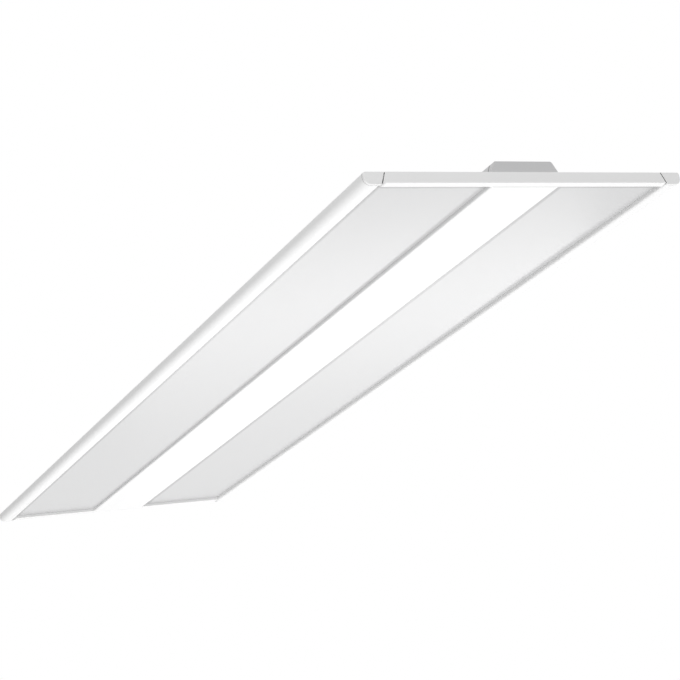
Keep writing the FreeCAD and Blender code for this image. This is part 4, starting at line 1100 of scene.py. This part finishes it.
def bushing_mesh(low, rise, flange, lug_top):
    """A snap bushing, its seat at zero: a rounded flange, a neck and a ring of snap fingers."""
    bore, neck = BUSHING_BORE, BUSHING_NECK
    edge, mouth = BUSHING_EDGE * rise, BUSHING_MOUTH * rise
    crown = bore + BUSHING_CROWN * (flange - bore)
    levels = [(0.0, flange), (edge, flange), *dome(edge, rise, flange, crown, BUSHING_STEPS),
              (rise, crown), *reversed(dome(mouth, rise, bore, crown, MOUTH_STEPS)), (mouth, bore),
              *profile(BUSHING_TOE, rise, bore, low), *profile(BUSHING_HEEL, rise, neck, low),
              (LUG_LOW, BUSHING_LUG), (lug_top, BUSHING_LUG), (lug_top + BUSHING_SLOPE * rise, neck),
              (-BUSHING_SLOPE * rise, neck)]
    body = hollow_mesh(levels, ROUND_SIDES)
    for number in range(FINGERS):
        gap = to_mesh(block_shape((GAP_FROM * bore, -FINGER_GAP / 2, GAP_DEPTH * low),
                                  (GAP_TO * flange, FINGER_GAP / 2, lug_top + GAP_RISE)), "gap")
        gap.transform(Matrix.Rotation(FULL_TURN * (number + 0.5) / FINGERS, 4, "Z"))
        body = cut_away(body, gap)
    return body


def terminal_mesh():
    """The supply terminal with a row of release slots over its ports and a groove between them."""
    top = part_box("supply_terminal")[1]
    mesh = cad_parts["supply_terminal"].data.copy()
    mesh.materials.clear()
    for way in (-1, 1):
        for number in (-1, 0, 1):
            middle = Vector((way * SLOT_ROW * top.x, number * PORT_PITCH, top.z))
            mesh = cut_away(mesh, block_mesh(middle, SLOT_HALF))
    groove = Vector((GROOVE_HALF, top.y + GROOVE_OVERRUN, GROOVE_HALF))
    return cut_away(mesh, block_mesh(Vector((0, 0, top.z)), groove))


# Operators

# Radii of softened edges, and the seed of the screws' turns
PANEL_EDGE = 0.15 * MM
SHEET_EDGE = 0.18 * MM
DRIVER_EDGE = 0.6 * MM
TERMINAL_EDGE = 0.3 * MM
SCREW_SEED = 11


def nodes_named(stem, places):
    """The names of a piece's twins at several places."""
    return [f"{stem}_{place}" for place in places]


def cad_pieces(names):
    """The CAD pieces with some names."""
    return [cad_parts[name] for name in names]


class CEILING_LIGHT_OT_frame(bpy.types.Operator):
    """Coat the rails, the spine and the corner caps"""

    bl_idname = "ceiling_light.frame"
    bl_label = "Frame"

    def execute(self, context):
        finish = finish_settings()
        joints = (-SPINE_EDGE, SPINE_EDGE)
        lips = [("rail_coat", name, ACROSS, BAY_EDGE, finish.rail_lip_radius, ())
                for name in nodes_named("side_rail", SIDES)]
        lips += [(f"end_coat_{end}", f"end_rail_{end}", ALONG, END_EDGE, finish.end_lip_radius, joints)
                 for end in ENDS]
        lips.append(("spine_coat", "center_spine", ACROSS, SPINE_EDGE, finish.spine_lip_radius, ()))
        for coat, name, axis, place, radius, cuts in lips:
            chosen = lip_test(Vector(axis), place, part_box(name)[0].z)
            mesh = rounded_copy(name, radius, chosen, cuts)
            piece = add_piece(f"{name}_coated", mesh, coat, FIXTURE, name)
            soften_edges([piece], finish.edge_radius)
        caps = [f"corner_cap_{end}_{side}" for end in ENDS for side in SIDES]
        finish_nodes("casting_coat", caps)
        soften_edges(cad_pieces(caps), 2 * finish.edge_radius)
        return {"FINISHED"}


class CEILING_LIGHT_OT_bays(bpy.types.Operator):
    """Finish the lenses and the sheets and light boards behind them"""

    bl_idname = "ceiling_light.bays"
    bl_label = "Lens bays"

    def execute(self, context):
        for finish, stem in (("lens", "diffuser"), ("guide", "light_guide"),
                             ("reflector", "reflector_sheet"), ("foam", "foam_pad"),
                             ("sheet_coat", "back_panel"), ("board", "led_strip"),
                             ("white_plastic", "led_connector")):
            finish_nodes(finish, nodes_named(stem, SIDES))
        soften_edges(cad_pieces(nodes_named("back_panel", SIDES)), PANEL_EDGE)
        return {"FINISHED"}


class CEILING_LIGHT_OT_channel(bpy.types.Operator):
    """Coat the driver channel with its caps and door, and plate what hangs in it"""

    bl_idname = "ceiling_light.channel"
    bl_label = "Driver channel"

    def execute(self, context):
        coated = ["driver_channel", *nodes_named("channel_cap", ENDS)]
        plates = nodes_named("hanger_plate", ENDS)
        drivers = nodes_named("led_driver", ENDS)
        finish_nodes("channel_coat", coated)
        finish_nodes("door_coat", ["access_door"])
        finish_nodes("steel", plates)
        finish_nodes("zinc", ["hinge_leaf", "hinge_pin"])
        finish_nodes("driver_case", drivers)
        soften_edges(cad_pieces([*coated, "access_door", *plates]), SHEET_EDGE)
        soften_edges(cad_pieces(drivers), DRIVER_EDGE, 3)
        return {"FINISHED"}


class CEILING_LIGHT_OT_screws(bpy.types.Operator):
    """Make the sheet screws with low heads and cross recesses"""

    bl_idname = "ceiling_light.screws"
    bl_label = "Screws"

    def execute(self, context):
        turns = random.Random(SCREW_SEED)
        for name in ("panel_screws_side", "panel_screws_end", "channel_screws", "cap_screws",
                     "driver_screws_front", "driver_screws_rear"):
            places, sizes = fastener_spots(name)
            turned = [place @ Matrix.Rotation(turns.uniform(0, FULL_TURN), 4, "Z") for place in places]
            screws = repeated(cross_screw_mesh(*sizes), turned)
            add_piece(f"{name}_turned", screws, "zinc", FIXTURE, name)
        return {"FINISHED"}


class CEILING_LIGHT_OT_rivets(bpy.types.Operator):
    """Make the blind rivets of the hanger plates and the hinge leaf"""

    bl_idname = "ceiling_light.rivets"
    bl_label = "Rivets"

    def execute(self, context):
        for name in ("hanger_rivets", "hinge_rivets"):
            places, sizes = fastener_spots(name)
            rivets = repeated(rivet_mesh(*sizes), places)
            add_piece(f"{name}_domed", rivets, "zinc", FIXTURE, name)
        return {"FINISHED"}


class CEILING_LIGHT_OT_door_hardware(bpy.types.Operator):
    """Make the door's knurled thumbscrew and the nut that it turns into"""

    bl_idname = "ceiling_light.door_hardware"
    bl_label = "Door thumbscrew and nut"

    def execute(self, context):
        screw_box, nut_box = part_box("door_thumbscrew"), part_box("door_nut")
        nut_low, nut_top = (corner.z for corner in nut_box)
        seat = nut_top + THUMB_SEAT_ABOVE_NUT
        low, high = (corner.z for corner in screw_box)
        screw = thumbscrew_mesh(high - seat, seat - low, head_reach(screw_box))
        add_piece("door_thumbscrew_knurled", stand_at(screw, screw_box, seat), "zinc", DOOR,
                  "door_thumbscrew")
        nut = nut_mesh(nut_top - nut_low, head_reach(nut_box))
        add_piece("door_nut_threaded", stand_at(nut, nut_box, nut_top), "zinc", FIXTURE,
                  "door_nut")
        return {"FINISHED"}


class CEILING_LIGHT_OT_supply_entry(bpy.types.Operator):
    """Make the snap bushing of the supply hole and finish the terminal under the door"""

    bl_idname = "ceiling_light.supply_entry"
    bl_label = "Supply entry"

    def execute(self, context):
        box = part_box("supply_bushing")
        lug_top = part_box("driver_channel")[1].z - SHEET - LUG_PLAY
        bushing = bushing_mesh(box[0].z, box[1].z, head_reach(box), lug_top)
        add_piece("supply_bushing_snapped", stand_at(bushing, box, 0.0), "black_plastic", FIXTURE,
                  "supply_bushing")
        terminal = add_piece("supply_terminal_slotted", terminal_mesh(), "terminal_plastic", FIXTURE,
                             "supply_terminal")
        soften_edges([terminal], TERMINAL_EDGE)
        return {"FINISHED"}


class CEILING_LIGHT_OT_leads(bpy.types.Operator):
    """Lay the round leads between the terminal, the drivers and the light boards"""

    bl_idname = "ceiling_light.leads"
    bl_label = "Leads"

    def execute(self, context):
        sizes = hardware_settings()
        for end, way in (("front", 1), ("rear", -1)):
            node = f"supply_leads_{end}"
            routes = [[(way * along, side * across, LEAD_LEVEL) for along, across in SUPPLY_ROUTE]
                      for side in (1, -1)]
            lead_piece(f"{node}_round", routes, sizes.lead_radius, "black_lead", node)
        for side, way in (("left", -1), ("right", 1)):
            node = f"led_lead_{side}"
            route = [(along, way * across, LEAD_LEVEL) for along, across in BOARD_ROUTE]
            lead_piece(
                f"{node}_round", [route], sizes.board_lead_radius, "white_lead", node)
        return {"FINISHED"}


# Studio

SENSOR_WIDTH = 36
NEAREST_SEEN = 0.01
FLOOR_TONES = ((0.86, 0.86, 0.86, 1), (0.9, 0.9, 0.9, 1))
FLOOR_FADE = (0.35, 0.97)

# Each lamp's place, aim, size and turn about its beam; its power is a setting of the same name
LAMPS = {
    "lamp_above": ((0.3, 0.4, 2.4), (0, 0, 0), (2.4, 2.4), 0),
    "lamp_side": ((3.5, -2.1, 0.8), (0, 0, 0), (1.8, 1.8), 0),
    "lamp_below": ((0.0, 0.1, -2.0), (0, 0, 0), (1.8, 1.8), 0),
    "lamp_far": ((-1.68, 1.13, -0.78), (0.23, 0, 0), (1.2, 0.3), -9),
}


def add_camera(stage):
    """The camera that the picture is taken with."""
    camera = bpy.data.objects.new("camera", bpy.data.cameras.new("camera"))
    bpy.context.scene.collection.objects.link(camera)
    camera.location = stage.camera_place
    camera.rotation_euler = Euler(stage.camera_turn, "XYZ")
    camera.data.lens = stage.focal_length
    camera.data.sensor_width = SENSOR_WIDTH
    camera.data.clip_start = NEAREST_SEEN
    bpy.context.scene.camera = camera


def surroundings(stage):
    """A world that is white to the eye and to reflections, and softer as a light."""
    world = bpy.data.worlds.new("surroundings")
    bpy.context.scene.world = world
    world.use_nodes = True
    tree = world.node_tree
    rays = add_node(tree, "LightPath").outputs
    seen = maths(tree, "MAXIMUM", rays["Is Camera Ray"], rays["Is Glossy Ray"])
    seen = maths(tree, "MAXIMUM", seen, rays["Is Transmission Ray"])
    strength = maths(tree, "ADD", stage.ambient, maths(tree, "MULTIPLY", seen, 1 - stage.ambient))
    feed(tree, tree.nodes["Background"], {"Color": (1, 1, 1, 1), "Strength": strength})


def floor_piece(stage):
    """A pale floor that fades out far away, and can't be seen from under it."""
    shape = bmesh.new()
    bmesh.ops.create_circle(shape, cap_ends=True, segments=96, radius=stage.floor_reach)
    mesh = to_mesh(shape, "floor")
    floor = bpy.data.objects.new("floor", mesh)
    bpy.context.scene.collection.objects.link(floor)
    floor.location.z = -stage.floor_drop
    material, tree, shader = new_material("Pale floor")
    place = object_place(tree)
    mottle = noise(tree, place, scale=3.0, detail=4.0)
    feed(tree, shader, {"Base Color": mix_colour(tree, mottle, *FLOOR_TONES), "Roughness": 0.85})
    far = add_node(tree, "VectorMath", {"operation": "LENGTH"}, i0=place).outputs["Value"]
    fade = fade_in(tree, far, *(share * stage.floor_reach for share in FLOOR_FADE))
    under = add_node(tree, "NewGeometry").outputs["Backfacing"]
    clear = add_node(tree, "BsdfTransparent").outputs[0]
    mixed = add_node(tree, "MixShader", i0=maths(tree, "MAXIMUM", fade, under), i1=shader.outputs[0],
                     i2=clear)
    tree.links.new(mixed.outputs[0], tree.nodes["Material Output"].inputs["Surface"])
    mesh.materials.append(material)


def add_lamp(name, place, aim, size, turn, power):
    """A soft lamp at a place, aimed at a point, unseen by the camera."""
    lamp = bpy.data.lights.new(name, "AREA")
    lamp.shape = "RECTANGLE"
    lamp.size, lamp.size_y = size
    lamp.energy = power
    holder = bpy.data.objects.new(name, lamp)
    bpy.context.scene.collection.objects.link(holder)
    holder.location = place
    holder.rotation_euler = (Vector(aim) - Vector(place)).to_track_quat("-Z", "Y").to_euler()
    holder.rotation_euler.rotate_axis("Z", math.radians(turn))
    holder.visible_camera = False


class CEILING_LIGHT_OT_stage(bpy.types.Operator):
    """Set the camera, the floor, the lamps and the pale surroundings"""

    bl_idname = "ceiling_light.stage"
    bl_label = "Studio"

    def execute(self, context):
        stage = stage_settings()
        add_camera(stage)
        context.scene.view_settings.view_transform = "Standard"
        surroundings(stage)
        floor_piece(stage)
        for name, setup in LAMPS.items():
            add_lamp(name, *setup, getattr(stage, name))
        return {"FINISHED"}


OPERATORS = (
    CEILING_LIGHT_OT_frame,
    CEILING_LIGHT_OT_bays,
    CEILING_LIGHT_OT_channel,
    CEILING_LIGHT_OT_screws,
    CEILING_LIGHT_OT_rivets,
    CEILING_LIGHT_OT_door_hardware,
    CEILING_LIGHT_OT_supply_entry,
    CEILING_LIGHT_OT_leads,
    CEILING_LIGHT_OT_stage,
)


class VIEW3D_PT_ceiling_light(bpy.types.Panel):
    """The light's build steps and settings"""

    bl_idname = "VIEW3D_PT_ceiling_light"
    bl_label = "Ceiling Light"
    bl_space_type = "VIEW_3D"
    bl_region_type = "UI"
    bl_category = "Ceiling Light"

    def draw(self, context):
        for operator in OPERATORS:
            self.layout.operator(operator.bl_idname)
        for name, group in SETTINGS.items():
            for setting in group.__annotations__:
                self.layout.prop(getattr(context.scene, name), setting)


SETTINGS = {
    "light_finish": FinishSettings,
    "light_hardware": HardwareSettings,
    "light_stage": StageSettings,
}


def register():
    for group in SETTINGS.values():
        bpy.utils.register_class(group)
    for operator in OPERATORS:
        bpy.utils.register_class(operator)
    bpy.utils.register_class(VIEW3D_PT_ceiling_light)
    for name, group in SETTINGS.items():
        setattr(bpy.types.Scene, name, bpy.props.PointerProperty(type=group))


def unregister():
    for name in SETTINGS:
        delattr(bpy.types.Scene, name)
    bpy.utils.unregister_class(VIEW3D_PT_ceiling_light)
    for group in (*reversed(OPERATORS), *SETTINGS.values()):
        bpy.utils.unregister_class(group)


def main():
    """Build the light's looks round the frame."""
    register()
    for operator in OPERATORS:
        family, name = operator.bl_idname.split(".")
        getattr(getattr(bpy.ops, family), name)()


if __name__ == "__main__":
    main()
